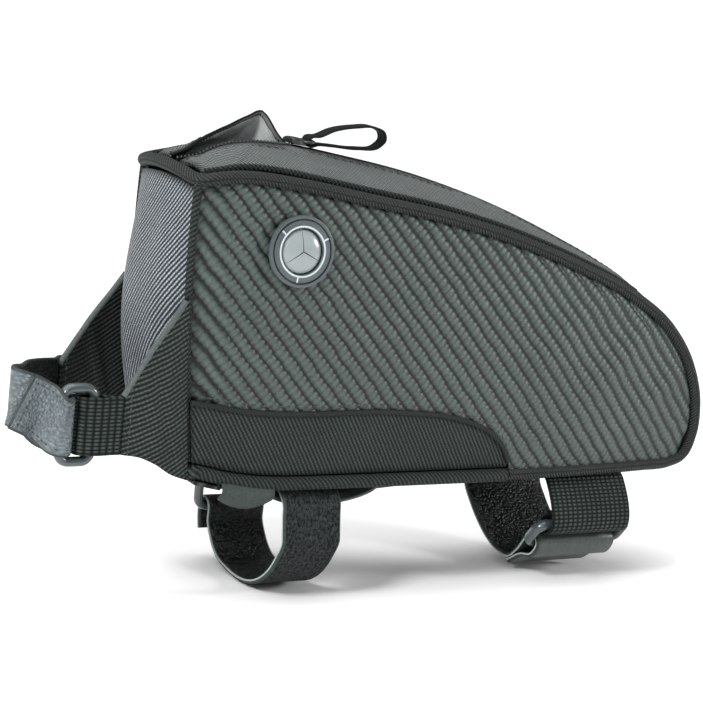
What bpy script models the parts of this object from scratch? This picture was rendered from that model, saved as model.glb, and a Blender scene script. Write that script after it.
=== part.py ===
"""Top tube bag for a bicycle: a hollow cloth bag on its base, held by a steerer strap and two tube straps.

Units are metres, +Z up. The origin is the middle of the base's underside, where the bag sits on the top
tube. X runs from the tall front end to the low nose, Y across, and the near side is at -Y.
"""

import bmesh
import bpy
import numpy as np
from mathutils import Matrix, Vector

MM = 0.001

# Driving dimensions of the bag
LENGTH = 228 * MM  # from the front seam's top to the piping at the nose
HEIGHT = 106.5 * MM  # highest point of the side piping's centre
HALF_WIDTH = 30 * MM  # widest half of the bag, at the belly of a side
FRONT_X = -110 * MM  # the front seam's top
GAP = 0.3 * MM  # clearance between neighbours that touch

# Walls
SIDE_WALL = 2.0 * MM
INSERT_WALL = 1.8 * MM
FRONT_WALL = 2.0 * MM
BASE_WALL = 3.0 * MM
LID_WALL = 1.4 * MM
PIPING_RADIUS = 2.4 * MM
BINDING_RADIUS = 2.4 * MM
PANEL_INSET = PIPING_RADIUS + 1.5 * GAP  # edge of a side panel from the middle of its piping
PIPING_END = 0.735  # share of the outline where the piping gives way to the binding

# Shape of the front and the lid
FRONT_BOW = 2.0 * MM  # the front seam seen from the side is bowed forward
FRONT_BULGE = 9.5 * MM  # the front wall stands out between its seams
CORNER_RADIUS = 5.0 * MM  # where the piping turns across the front
PIPING_BOW = 3.0 * MM  # the front run of piping stands forward in the middle
PIPING_RISE = 2.5 * MM  # and upward
LID_RISE = 12 * MM  # height of the crown over the piping
LID_BELLY = 1.6 * MM  # each half of the lid is a little convex
ZIP_STRIP = 1.6 * MM  # width of one toothed edge
ZIP_WALL = 1.4 * MM
ZIP_SPLAY = 0.9 * MM  # half the groove between the closed zip's edges at the top
OPEN_SPREAD = 10 * MM  # how far the far half of the lid is pulled aside at the open zip
OPEN_LIFT = 9.6 * MM  # and how far it stands up
NEAR_SPREAD = 4 * MM  # how far the near half has slipped outward

# Zip slider and its pull
SLIDER_LENGTH = 6 * MM
SLIDER_WIDTH = 8 * MM
SLIDER_HEIGHT = 2.4 * MM
BAIL_WIRE = 1.2 * MM
BAIL_REACH = 2.6 * MM  # how far the pull's eye stands behind the slider
CROWN_SLOPE = -0.12  # fall of the crown under the slider
PULL_WIDTH = 6 * MM
PULL_WALL = 1.0 * MM
PULL_LENGTH = 30 * MM

# Cable port in the near side
PORT_ALONG = 0.1515  # share of the way from the front seam to the nose
PORT_UP = 0.803  # share of the way from the base to the piping
PORT_DIAMETER = 25 * MM
PORT_BARREL = 20.4 * MM
PORT_BORE = 16 * MM
PORT_FLANGE = 1.4 * MM
PORT_DOME = 2.2 * MM
PORT_RUBBER = 1.2 * MM
SLIT_LENGTH = 6.2 * MM
SLIT_WIDTH = 0.5 * MM

# Wings and the strap round the steerer tube
WING_REACH = 24 * MM  # of the near wing from the front seam forward
FAR_WING_EXTRA = 3.4 * MM  # the far wing, pulled by the strap, stands out more
WING_TOP = 66 * MM
WING_WALL = 2.0 * MM
WEBBING_WIDTH = 20 * MM
WEBBING_WALL = 1.2 * MM
WEBBING_TAIL = 4.5 * MM  # end of the tube webbing, turned back past its ring's bar
WEBBING_REACH = 9.8 * MM  # from a wing's front edge to the ring's rear bar
STRAP_WALL = 1.8 * MM
RING_WIRE = 3.4 * MM  # ring bar across its plane
RING_DEPTH = 4.4 * MM  # ring bar along the strap's thickness
RING_SLOT = 7.8 * MM  # clear opening of a ring between its bars
RING_PLAY = 0.9 * MM  # room beside a strap in its ring
WEBBING_SLACK = 3.7 * MM  # how loosely the webbing goes round the front ring's bar
STEERER_NOSE = 13 * MM  # from the ring's front bar to the front of the loop round the steerer tube

# Straps round the top tube
TUBE_STRAP_WIDTH = 23 * MM
TUBE_STRAP_X = -56.5 * MM
TUBE_STRAP_DROP = 43 * MM
REAR_STRAP_WIDTH = 36 * MM
REAR_STRAP_ALONG = 0.7645  # share of the length from the front seam to the strap's middle
REAR_STRAP_DROP = 41 * MM
REAR_RING_TILT = 40  # degrees the rear ring leans out from upright
STRAP_INSET = 2 * MM  # how far the legs of a tube strap sit inside the sides' widest place
STRAP_SPREAD = HALF_WIDTH - STRAP_INSET  # half distance between the legs of a tube strap
TAIL_LEAN = 1.2 * MM  # the front tube strap's free end leans back to the strap by this much
TAIL_DROP = 5 * MM  # and hangs this far below the ring's turn
KEEPER_INSET = 1.5 * MM  # the keeper's edges sit this far inside the straps' legs
KEEPER_START = -92 * MM
KEEPER_END = -6 * MM
KEEPER_ROOM = 6 * MM  # slack ahead of the tube strap
KEEPER_TRAIL = 15 * MM  # slack behind it
KEEPER_WALL = 1.4 * MM
KEEPER_SAG = 6.0 * MM
KEEPER_WAIST = 2.5 * MM  # it is narrower where the strap comes out
KEEPER_LIP = 2.6 * MM  # its long edges hang a little lower
TAB_LENGTH = 10.5 * MM  # twill tabs under the front corners

# Outline of a side panel in side view, from the front seam's top over the nose and back along the base.
# Columns: share of the length from the front seam, share of the height
OUTLINE = (
    (0.000, 0.985),
    (0.060, 1.000),
    (0.160, 0.984),
    (0.290, 0.940),
    (0.420, 0.895),
    (0.560, 0.825),
    (0.700, 0.730),
    (0.820, 0.626),
    (0.910, 0.505),
    (0.964, 0.370),
    (0.995, 0.200),
    (0.996, 0.100),
    (0.982, 0.030),
    (0.945, 0.002),
    (0.900, 0.000),
    (0.880, 0.000),
    (0.220, 0.000),
    (0.200, 0.000),
    (0.163, 0.002),
    (0.095, 0.017),
    (0.023, 0.051),
)
NOSE_ROW = 11  # where the upper edge ends
TOE_ROW = 12  # where the lower edge ends
# Half widths by the way along the side. Columns: way along, at the piping, at the base, belly between them,
# as shares of the half width
WIDTHS = (
    (0.00, 0.830, 0.870, 0.000),
    (0.12, 0.835, 0.935, 0.070),
    (0.30, 0.835, 0.965, 0.100),
    (0.50, 0.830, 0.965, 0.100),
    (0.70, 0.790, 0.930, 0.080),
    (0.85, 0.735, 0.830, 0.045),
    (1.00, 0.680, 0.690, 0.000),
)
# Crown of the lid over the piping. Columns: way along, share of the lid's rise
CROWN = (
    (0.000, 0.28),
    (0.035, 0.36),
    (0.060, 0.64),
    (0.085, 0.82),
    (0.120, 0.93),
    (0.250, 1.00),
    (0.450, 0.86),
    (0.600, 0.70),
    (0.740, 0.54),
    (0.860, 0.31),
    (1.000, 0.12),
)
# The open end of the zip. Columns: way along, share of the far half's spread, of its lift, of the near
# half's spread
MOUTH = (
    (0.000, 0.00, 0.00, 0.00),
    (0.030, 0.30, 0.05, 0.35),
    (0.060, 0.62, 0.12, 0.80),
    (0.090, 0.86, 0.33, 1.00),
    (0.120, 0.98, 0.70, 0.90),
    (0.142, 1.00, 0.98, 0.70),
    (0.149, 0.86, 0.84, 0.50),
    (0.156, 0.30, 0.28, 0.20),
    (0.163, 0.00, 0.00, 0.00),
)
SLIDER_ALONG = 0.1735  # way along of the slider's middle
ZIP_END = 0.735
LID_START = (PIPING_RADIUS + GAP) * 1.4 / LENGTH  # way along of the lid's front edge, clear of the piping
# Lower edge of the carbon-look panel. Columns: way along, share of the height there
INSERT_EDGE = (
    (0.000, 0.224),
    (0.080, 0.222),
    (0.200, 0.232),
    (0.330, 0.248),
    (0.420, 0.244),
    (0.480, 0.222),
    (0.528, 0.180),
    (0.563, 0.115),
    (0.590, 0.028),
)
# A wing from its root to its front edge. Columns: share of the reach, top and bottom as shares of its top,
# and how far it has turned inward as a share of the half width
WING = (
    (0.00, 1.000, 0.025, 0.00),
    (0.25, 0.875, 0.060, 0.00),
    (0.50, 0.760, 0.120, 0.01),
    (0.75, 0.625, 0.158, 0.02),
    (1.00, 0.475, 0.172, 0.03),
)
# Steerer strap in plan, from the far wing round the front to the near ring, with its middle height.
# Columns: share of the reach from the wings' front edges, share of the half width (negative on the near
# side), height
# above the wing's middle as a share of the reach
STEERER_LOOP = (
    (0.150, 0.745, 0.075),
    (0.235, 0.640, 0.097),
    (0.460, 0.375, 0.150),
    (0.735, 0.020, 0.208),
    (0.930, -0.310, 0.238),
    (1.055, -0.460, 0.262),
    (1.075, -0.570, 0.260),
    (0.985, -0.630, 0.225),
    (0.820, -0.605, 0.140),
)
# Section of the front tube strap across the bag, near side to far side. Columns: share of the spread, of
# the drop
FRONT_LOOP = (
    (0.100, -0.040),
    (-0.300, -0.040),
    (-0.650, -0.042),
    (-0.880, -0.085),
    (-1.010, -0.160),
    (-1.050, -0.290),
    (-1.080, -0.400),
    (-1.100, -0.490),
    (-1.000, -0.620),
    (-0.780, -0.805),
    (-0.440, -0.950),
    (-0.100, -1.005),
    (0.310, -0.995),
    (0.630, -0.945),
    (0.860, -0.815),
    (0.975, -0.690),
)
# The same for the rear tube strap, from its far seam to its near ring
REAR_LOOP = (
    (0.300, -0.042),
    (0.600, -0.044),
    (0.800, -0.075),
    (0.960, -0.130),
    (1.050, -0.230),
    (1.070, -0.340),
    (1.020, -0.490),
    (0.830, -0.640),
    (0.580, -0.785),
    (0.320, -0.895),
    (0.020, -0.960),
    (-0.215, -0.955),
    (-0.400, -0.850),
    (-0.545, -0.720),
)
# The pull loop seen from the side, from the slider's eye out and back. Columns: share of its length, height
# over the eye as a share of its length
PULL_LOOP = (
    (0.10, 0.070),
    (0.28, 0.145),
    (0.58, 0.200),
    (0.84, 0.205),
    (0.97, 0.145),
    (0.99, 0.065),
    (0.92, -0.015),
    (0.62, -0.055),
    (0.25, -0.035),
    (0.08, -0.030),
)
# Webbing from under the base over its edge towards a ring. Columns: share of the spread, height as a share
# of the spread
WEBBING_RUN = (
    (0.200, -0.038),
    (0.420, -0.038),
    (0.600, -0.040),
    (0.740, -0.075),
    (0.850, -0.125),
    (0.925, -0.210),
)

RUBBER = ("moulded_rubber", (0.30, 0.32, 0.31), 0.5)
CARBON = ("carbon_look_cloth", (0.045, 0.055, 0.052), 0.45)
TWILL = ("polyester_twill", (0.05, 0.055, 0.058), 0.8)
COATED = ("coated_cloth", (0.035, 0.042, 0.040), 0.6)
LOOP_PILE = ("loop_pile", (0.028, 0.032, 0.033), 1.0)
WEBBING = ("nylon_webbing", (0.030, 0.035, 0.033), 0.85)
NYLON = ("moulded_nylon", (0.16, 0.17, 0.17), 0.35)


def clear_scene():
    for thing in list(bpy.data.objects):
        bpy.data.objects.remove(thing, do_unlink=True)


def material(kind):
    name, colour, roughness = kind
    found = bpy.data.materials.get(name)
    if found:
        return found
    made = bpy.data.materials.new(name)
    made.use_nodes = True
    shader = made.node_tree.nodes["Principled BSDF"]
    shader.inputs["Base Color"].default_value = (*colour, 1.0)
    shader.inputs["Roughness"].default_value = roughness
    shader.inputs["Metallic"].default_value = 0.0
    return made


def even_slopes(points, knots):
    """Slopes that let a curve through the points rise or fall no further than they do."""
    steps = np.diff(knots)[:, None]
    rates = np.diff(points, axis=0) / steps
    before, after = rates[:-1], rates[1:]
    near = 2 * steps[1:] + steps[:-1]
    far = steps[1:] + 2 * steps[:-1]
    same = before * after > 0
    safe_before, safe_after = np.where(same, before, 1.0), np.where(same, after, 1.0)
    middle = np.where(same, (near + far) / (near / safe_before + far / safe_after), 0.0)
    return np.concatenate([rates[:1], middle, rates[-1:]])


def smooth_curve(rows, parameters=None, even=False):
    """The smooth curve through the rows, as a function of a parameter from 0 to 1 or of the one given."""
    points = np.array(rows, float)
    if parameters is None:
        steps = np.linalg.norm(np.diff(points, axis=0), axis=1)
        knots = np.concatenate([[0.0], np.cumsum(steps)])
        knots /= knots[-1]
    else:
        knots = np.array(parameters, float)
    slopes = even_slopes(points, knots) if even else np.gradient(points, knots, axis=0)

    def at(where):
        where = np.clip(np.asarray(where, float), knots[0], knots[-1])
        row = np.clip(np.searchsorted(knots, where, side="right") - 1, 0, len(knots) - 2)
        span = (knots[row + 1] - knots[row])[..., None]
        part = (where - knots[row])[..., None] / span
        square = part * part
        cube = square * part
        start = (2 * cube - 3 * square + 1) * points[row]
        leave = (cube - 2 * square + part) * span * slopes[row]
        end = (3 * square - 2 * cube) * points[row + 1]
        arrive = (cube - square) * span * slopes[row + 1]
        return start + leave + end + arrive

    at.knots = knots
    return at


def table(rows):
    """A short table as a smooth function of its first column."""
    columns = np.array(rows, float)
    return smooth_curve(columns[:, 1:], columns[:, 0], even=True)


OUTLINE_POINTS = [(FRONT_X + along * LENGTH, up * HEIGHT) for along, up in OUTLINE]
outline = smooth_curve(OUTLINE_POINTS)
widths = table(WIDTHS)
crown = table(CROWN)
mouth = table(MOUTH)
insert_edge = table(INSERT_EDGE)


def upper(way):
    """The upper edge in side view: way 0 at the front seam, 1 at the end of the nose."""
    return outline(np.asarray(way) * outline.knots[NOSE_ROW])


def lower(way):
    """The lower edge in side view, from the front seam to the toe of the nose."""
    return outline(1.0 - np.asarray(way) * (1.0 - outline.knots[TOE_ROW]))


def inset(turn, by):
    """The outline at a turn, set inward by a distance."""
    step = 1e-4
    ahead = outline(np.clip(turn + step, 0, 1)) - outline(np.clip(turn - step, 0, 1))
    ahead /= np.linalg.norm(ahead, axis=-1, keepdims=True)
    inward = np.stack([ahead[..., 1], -ahead[..., 0]], axis=-1)
    return outline(turn) + inward * by


def panel_upper(way):
    """Upper edge of a side panel, clear of the piping."""
    return inset(np.asarray(way, float) * outline.knots[NOSE_ROW], PANEL_INSET)


def panel_lower(way):
    """Lower edge of a side panel, clear of the binding."""
    turn = 1.0 - np.asarray(way, float) * (1.0 - outline.knots[TOE_ROW])
    return inset(turn, PANEL_INSET)


def half_width(way, up):
    share = widths(way)
    belly = 4 * up * (1 - up)
    return HALF_WIDTH * (share[..., 1] * (1 - up) + share[..., 0] * up + share[..., 2] * belly)


def side_points(way, up, side):
    """Points on a side's outer face: way from the front seam to the nose, up from base to piping."""
    way, up = np.broadcast_arrays(np.asarray(way, float), np.asarray(up, float))
    place = panel_lower(way) * (1 - up)[..., None] + panel_upper(way) * up[..., None]
    bow = FRONT_BOW * 4 * up * (1 - up) * (1 - way) ** 4
    return np.stack([place[..., 0] - bow, side * half_width(way, up), place[..., 1]], axis=-1)


def side_height(way):
    return np.linalg.norm(panel_upper(way) - panel_lower(way), axis=-1)


def grid_normals(grid):
    along = np.gradient(grid, axis=0)
    across = np.gradient(grid, axis=1)
    normal = np.cross(along, across)
    return normal / np.linalg.norm(normal, axis=-1, keepdims=True)


def add_object(name, vertices, faces, kind, smooth=True):
    mesh = bpy.data.meshes.new(name)
    mesh.from_pydata([tuple(v) for v in vertices], [], faces)
    work = bmesh.new()
    work.from_mesh(mesh)
    bmesh.ops.remove_doubles(work, verts=work.verts, dist=0.001 * MM)
    bmesh.ops.recalc_face_normals(work, faces=work.faces)
    work.to_mesh(mesh)
    work.free()
    mesh.materials.append(material(kind))
    if smooth:
        mesh.shade_smooth()
        mesh.set_sharp_from_angle(angle=0.7)
    thing = bpy.data.objects.new(name, mesh)
    bpy.context.scene.collection.objects.link(thing)
    return thing


def wall(name, outer, thickness, kind, inward=1.0):
    """A closed sheet: the outer grid and a copy of it set inward by the thickness, joined round the rim."""
    inner = outer - grid_normals(outer) * thickness * inward
    return wall_between(name, outer, inner, kind)


def wall_between(name, outer, inner, kind):
    rows, columns = outer.shape[:2]
    vertices = np.concatenate([outer.reshape(-1, 3), inner.reshape(-1, 3)])
    below = rows * columns
    faces = []
    for row in range(rows - 1):
        for column in range(columns - 1):
            corner = row * columns + column
            quad = (corner, corner + 1, corner + columns + 1, corner + columns)
            faces.append(quad)
            faces.append(tuple(below + index for index in reversed(quad)))
    rim = [row * columns for row in range(rows)]
    rim += [(rows - 1) * columns + column for column in range(1, columns)]
    rim += [row * columns + columns - 1 for row in range(rows - 2, -1, -1)]
    rim += list(range(columns - 2, 0, -1))
    for index, corner in enumerate(rim):
        following = rim[(index + 1) % len(rim)]
        faces.append((corner, following, below + following, below + corner))
    return add_object(name, vertices, faces, kind)


def sweep(name, path, across, section, kind, closed=False):
    """A section carried along a path. Its first axis is across the path, its second stands off it."""
    path = np.array(path, float)
    if closed:
        tangent = np.roll(path, -1, axis=0) - np.roll(path, 1, axis=0)
    else:
        tangent = np.gradient(path, axis=0)
    tangent /= np.linalg.norm(tangent, axis=1, keepdims=True)
    across = np.broadcast_to(np.array(across, float), path.shape)
    across = across - tangent * np.sum(across * tangent, axis=1, keepdims=True)
    across = across / np.linalg.norm(across, axis=1, keepdims=True)
    stand = np.cross(tangent, across)
    count = len(section)
    rings = [path + across * a + stand * b for a, b in section]
    vertices = np.stack(rings, axis=1).reshape(-1, 3)
    faces = []
    last = len(path) if closed else len(path) - 1
    for step in range(last):
        here = step * count
        there = ((step + 1) % len(path)) * count
        for index in range(count):
            following = (index + 1) % count
            faces.append((here + index, here + following, there + following, there + index))
    if not closed:
        faces.append(tuple(range(count)))
        faces.append(tuple((len(path) - 1) * count + index for index in reversed(range(count))))
    return add_object(name, vertices, faces, kind)


def flat_section(width, thickness):
    half, deep = width / 2, thickness / 2
    return ((-half, -deep), (half, -deep), (half, deep), (-half, deep))


def oval_section(width, depth, sides=8):
    turns = [2 * np.pi * (index + 0.5) / sides for index in range(sides)]
    return tuple((width / 2 * np.cos(turn), depth / 2 * np.sin(turn)) for turn in turns)


def turned(name, profile, frame, kind, segments=24):
    """A profile of (radius, height) turned about the frame's Z axis; rows on the axis close a pole."""
    turns = np.linspace(0, 2 * np.pi, segments, endpoint=False)
    vertices = []
    for turn in turns:
        for radius, height in profile:
            spot = Vector((radius * np.cos(turn), radius * np.sin(turn), height))
            vertices.append(frame @ spot)
    count = len(profile)
    closed = profile[0][0] > 0
    faces = []
    for segment in range(segments):
        here = segment * count
        there = ((segment + 1) % segments) * count
        for row in range(count if closed else count - 1):
            following = (row + 1) % count
            faces.append((here + row, there + row, there + following, here + following))
    return add_object(name, vertices, faces, kind)


def cut(body, cutter, name):
    """Takes the cutter out of the body. The cutter stays as a hidden guide."""
    cutter.hide_render = True
    cutter.display_type = "WIRE"
    step = body.modifiers.new(name, "BOOLEAN")
    step.operation = "DIFFERENCE"
    step.solver = "EXACT"
    step.object = cutter


# Columns of the sides: close together where the insert's edge drops to the base
FRONT_WAYS = np.linspace(GAP / LENGTH, INSERT_EDGE[5][0], 11)
DROP_WAYS = np.linspace(INSERT_EDGE[5][0], INSERT_EDGE[-1][0], 7)[1:]


def build_side(side, suffix):
    insert_ways = np.concatenate([FRONT_WAYS, DROP_WAYS])
    rest = np.linspace(INSERT_EDGE[-1][0], 1.0, 13)[1:]
    ways = np.concatenate([insert_ways, rest])
    edge = insert_edge(insert_ways)[..., 0]
    start = np.concatenate([edge + GAP / side_height(insert_ways), np.zeros(len(rest))])
    rows = np.linspace(0, 1, 7)
    up = start[:, None] * (1 - rows) + rows
    grid = side_points(ways[:, None], up, side)
    panel = wall(f"side_panel_{suffix}", grid, SIDE_WALL, CARBON, inward=-side)
    rows = np.linspace(0, 1, 4)
    grid = side_points(insert_ways[:, None], edge[:, None] * rows, side)
    wall(f"side_insert_{suffix}", grid, INSERT_WALL, TWILL, inward=-side)
    return panel


def front_edge(across):
    """How far the front run of piping stands forward and up, by the share of the half width across."""
    swell = 1 - np.asarray(across) ** 2
    return PIPING_BOW * swell, PIPING_RISE * swell


def build_front_panel():
    """The front wall between the side seams, its top edge under the front run of piping."""
    up = np.linspace(0.0, 1.0, 10)[None, :]
    across = np.linspace(-1.0, 1.0, 11)[:, None]
    seam = side_points(0.0, up * (1 - 3 * GAP / HEIGHT), 1.0)
    half = seam[..., 1] - SIDE_WALL - GAP
    bow, rise = front_edge(across)
    blend = up**4
    bulge = FRONT_BULGE * (1 - across**4) * np.sin(np.pi * (0.12 + 0.73 * up))
    forward = bulge * (1 - blend) + bow * blend
    x = seam[..., 0] - forward + 0 * across
    y = across * half
    z = seam[..., 2] + rise * blend
    wall("front_panel", np.stack([x, y, z], axis=-1), FRONT_WALL, TWILL, inward=-1.0)


def build_base():
    """The floor between the bindings, from the front wall to the toe."""
    start = (FRONT_WALL + 2 * GAP) / LENGTH
    ways = np.concatenate([np.linspace(start, 0.18, 7), np.linspace(0.25, 0.90, 6), [0.945]])
    line = lower(ways)
    half = half_width(ways, 0.0) - BINDING_RADIUS - GAP
    across = np.linspace(-1.0, 1.0, 5)[None, :]
    x = np.broadcast_to(line[:, 0:1], (len(ways), 5))
    z = np.broadcast_to(line[:, 1:2], (len(ways), 5))
    grid = np.stack([x, across * half[:, None], z], axis=-1)
    lift = np.array([0.0, 0.0, BASE_WALL])
    wall_between("base_panel", grid, grid + lift, TWILL)


def loop_width(turn):
    """Half width along the outline: turn 0 at the front seam's top, 1 at the lower front corner."""
    knots = outline.knots
    nose, toe = knots[NOSE_ROW], knots[TOE_ROW]
    turn = np.asarray(turn, float)
    top = half_width(np.clip(turn / nose, 0, 1), np.ones_like(turn))
    bottom = half_width(np.clip((1 - turn) / (1 - toe), 0, 1), np.zeros_like(turn))
    part = np.clip((turn - nose) / (toe - nose), 0, 1)
    return top * (1 - part) + bottom * part


def edge_path(turns):
    line = outline(turns)
    return np.stack([line[:, 0], loop_width(turns), line[:, 1]], axis=-1)


def piping_turns():
    nose = outline.knots[NOSE_ROW]
    toe = outline.knots[TOE_ROW]
    start = CORNER_RADIUS / LENGTH * nose
    top = np.linspace(start, nose * 0.70, 13)
    front = np.linspace(nose * 0.70, toe, 13)[1:]
    bottom = toe + (PIPING_END - toe) * np.linspace(0, 1, 7)[1:] ** 2
    return np.concatenate([top, front, bottom])


def build_piping():
    """One covered cord: up and over each side panel, and across the front between them."""
    far = edge_path(piping_turns())
    near = far[::-1] * np.array([1.0, -1.0, 1.0])
    corner_x = FRONT_X
    across = np.linspace(-1.0, 1.0, 9)
    half = half_width(0.0, 1.0)
    bow, rise = front_edge(across)
    reach = half - CORNER_RADIUS
    line = np.stack([corner_x - bow, across * reach, upper(0.0)[1] + rise], axis=-1)
    bend = CORNER_RADIUS * (1 - np.sqrt(0.5))
    soft = np.array([corner_x + bend, half - bend, upper(0.0)[1]])
    turn_near = soft * np.array([1.0, -1.0, 1.0])
    path = np.concatenate([near, [turn_near], line, [soft], far])
    size = 2 * PIPING_RADIUS
    return sweep("edge_piping", path, steady(path, (0.0, 0.0, 1.0)), oval_section(size, size), TWILL)


def steady(path, first):
    """Across directions turned as little as possible from each point to the next, from the first one."""
    tangent = np.gradient(path, axis=0)
    tangent /= np.linalg.norm(tangent, axis=1, keepdims=True)
    current = np.array(first)
    kept = []
    for row in tangent:
        current = current - row * np.dot(current, row)
        current /= np.linalg.norm(current)
        kept.append(current.copy())
    return np.array(kept)


def build_binding(side, suffix):
    """Twill binding over the lower edge, from the end of the piping to the front corner."""
    end = 1.0 - 1.5 * MM / LENGTH
    turns = np.linspace(PIPING_END + 2 * GAP / LENGTH, end, 16)
    path = edge_path(turns) * np.array([1.0, side, 1.0])
    size = 2 * BINDING_RADIUS
    sweep(f"binding_{suffix}", path, (0.0, 0.0, 1.0), oval_section(size, size), TWILL)


def crown_line(way):
    """The middle of the lid: the crown's place in side view and the direction it stands off the piping."""
    step = 1e-3
    ahead = upper(np.clip(np.asarray(way) + step, 0, 1)) - upper(np.clip(np.asarray(way) - step, 0, 1))
    ahead /= np.linalg.norm(ahead, axis=-1, keepdims=True)
    outward = np.stack([-ahead[..., 1], ahead[..., 0]], axis=-1)
    rise = LID_RISE * crown(way)[..., 0]
    return upper(way) + outward * rise[..., None], outward


def lid_points(way, in_share, side):
    """Points on a half of the lid: in_share 0 at the piping, 1 at the zip's edge."""
    way, share = np.broadcast_arrays(np.asarray(way, float), np.asarray(in_share, float))
    edge = upper(way)
    half = half_width(way, np.ones_like(way))
    start = np.stack([edge[..., 0], side * half, edge[..., 1]], axis=-1)
    top, outward = crown_line(way)
    open_by = mouth(np.clip(way, 0, MOUTH[-1][0]))
    open_by = np.where((way < MOUTH[-1][0])[..., None], open_by, 0.0)
    if side > 0:
        spread = ZIP_SPLAY + OPEN_SPREAD * open_by[..., 0]
        lift = OPEN_LIFT * open_by[..., 1]
    else:
        spread = ZIP_SPLAY + NEAR_SPREAD * open_by[..., 2]
        lift = np.zeros_like(spread)
    end = np.stack([top[..., 0], side * spread, top[..., 1] + lift], axis=-1)
    belly = LID_BELLY * 4 * share * (1 - share)
    point = start + (end - start) * share[..., None]
    point[..., 0] += outward[..., 0] * belly
    point[..., 2] += outward[..., 1] * belly
    bow, _ = front_edge(point[..., 1] / half)
    fade = np.clip(1 - way / 0.10, 0, 1) ** 2
    point[..., 0] -= bow * fade
    return point


def lid_span(way, side):
    start = lid_points(way, 0.0, side)
    end = lid_points(way, 1.0, side)
    return np.linalg.norm(end - start, axis=-1)


def lid_ways():
    front = np.linspace(LID_START, MOUTH[-1][0], 15)
    back = np.linspace(MOUTH[-1][0], ZIP_END, 11)[1:]
    return np.concatenate([front, back])


def build_lid(side, suffix):
    """One half of the lid with the toothed edge of the zip beyond it."""
    ways = lid_ways()
    span = lid_span(ways, side)
    start = (PIPING_RADIUS + GAP) / span
    stop = 1.0 - (ZIP_STRIP + 2 * GAP) / span
    share = np.linspace(0, 1, 5)[None, :]
    inside = start[:, None] * (1 - share) + stop[:, None] * share
    cloth = lid_points(ways[:, None], inside, side)
    wall(f"lid_{suffix}", cloth, LID_WALL, TWILL, inward=-side)
    strip_start = 1.0 - ZIP_STRIP / span
    strip = strip_start[:, None] * (1 - share[:, ::4]) + share[:, ::4]
    teeth = lid_points(ways[:, None], strip, side)
    wall(f"zip_{suffix}", teeth, ZIP_WALL, WEBBING, inward=-side)


def build_gusset():
    """The cloth over the nose, from the end of the zip to the toe."""
    first = ZIP_END + 2 * GAP / LENGTH
    ways = np.linspace(first, 1.0, 11)
    shares = np.linspace(0.0, 1.0, 5)
    halves = []
    for side in (-1.0, 1.0):
        span = lid_span(ways, side)
        start = (PIPING_RADIUS + GAP) / span
        inside = start[:, None] + (1.0 - start[:, None]) * shares[None, :]
        half = lid_points(ways[:, None], inside, side)
        halves.append(half)
    near, far = halves
    middle = (near[:, -1:] + far[:, -1:]) / 2
    grid = np.concatenate([near[:, :-1], middle, far[:, :-1][:, ::-1]], axis=1)
    toe = toe_rows(grid[-1])
    grid = np.concatenate([grid, toe], axis=0)
    wall("nose_gusset", grid, LID_WALL, TWILL)


def toe_rows(last):
    """The last rows of the gusset, turned under the nose to the end of the base."""
    across = last[:, 1] / np.abs(last[:, 1]).max()
    rows = []
    nose, toe = outline.knots[NOSE_ROW], outline.knots[TOE_ROW]
    for turn in (toe, toe + 0.5 * (toe - nose)):
        x, z = outline(turn)
        half = loop_width(turn) - PIPING_RADIUS - GAP
        swell = (1 - across**2) * 0.12 * LID_RISE
        rows.append(np.stack([x + swell, across * half, z - 0.3 * swell], axis=-1))
    return np.array(rows)


def side_frame(along, up, side):
    """Place and turn of a round fitting on a side: Z out of the wall, Y up it."""
    step = 0.01
    spot = side_points(along, up, side)
    ahead = Vector(side_points(along + step, up, side) - side_points(along - step, up, side))
    upward = Vector(side_points(along, up + step, side) - side_points(along, up - step, side))
    out = ahead.cross(upward).normalized()
    if out.y * side < 0:
        out.negate()
    upward = (upward - out * upward.dot(out)).normalized()
    right = upward.cross(out)
    turn = Matrix((right, upward, out)).transposed().to_4x4()
    return Matrix.Translation(Vector(spot)) @ turn


def build_port(panel):
    """The slit rubber port: a hole in the near side, a flanged ring in it and a domed membrane in that."""
    frame = side_frame(PORT_ALONG, PORT_UP, -1.0)
    hole = PORT_BARREL / 2 + GAP
    deep = SIDE_WALL * 3
    cutter = turned("port_hole_guide", ((0, -deep), (hole, -deep), (hole, deep), (0, deep)), frame, NYLON)
    cut(panel, cutter, "port_hole")
    proud = 3 * GAP
    bore, barrel, rim = PORT_BORE / 2, PORT_BARREL / 2, PORT_DIAMETER / 2
    back = -SIDE_WALL - 2 * GAP
    ring = (
        (bore, back),
        (barrel, back),
        (barrel, proud),
        (rim, proud),
        (rim, proud + PORT_FLANGE * 0.6),
        (rim - PORT_FLANGE * 0.5, proud + PORT_FLANGE),
        (bore + PORT_FLANGE * 0.3, proud + PORT_FLANGE),
        (bore, proud + PORT_FLANGE * 0.7),
    )
    turned("port_ring", ring, frame, NYLON)
    edge = bore - GAP
    rise = [(edge * np.cos(turn), PORT_DOME * np.sin(turn)) for turn in np.linspace(0, np.pi / 2, 4)]
    top = [(radius, proud + height) for radius, height in rise]
    top[-1] = (0.0, top[-1][1])
    under = [(radius * 0.93, height - PORT_RUBBER) for radius, height in reversed(top)]
    membrane = turned("port_membrane", tuple(under + top), frame, RUBBER)
    for index in range(3):
        turn = np.pi / 2 + index * 2 * np.pi / 3
        guide = slit_guide(f"port_slit_guide_{index + 1}", frame, turn)
        cut(membrane, guide, f"slit_{index + 1}")


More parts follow.
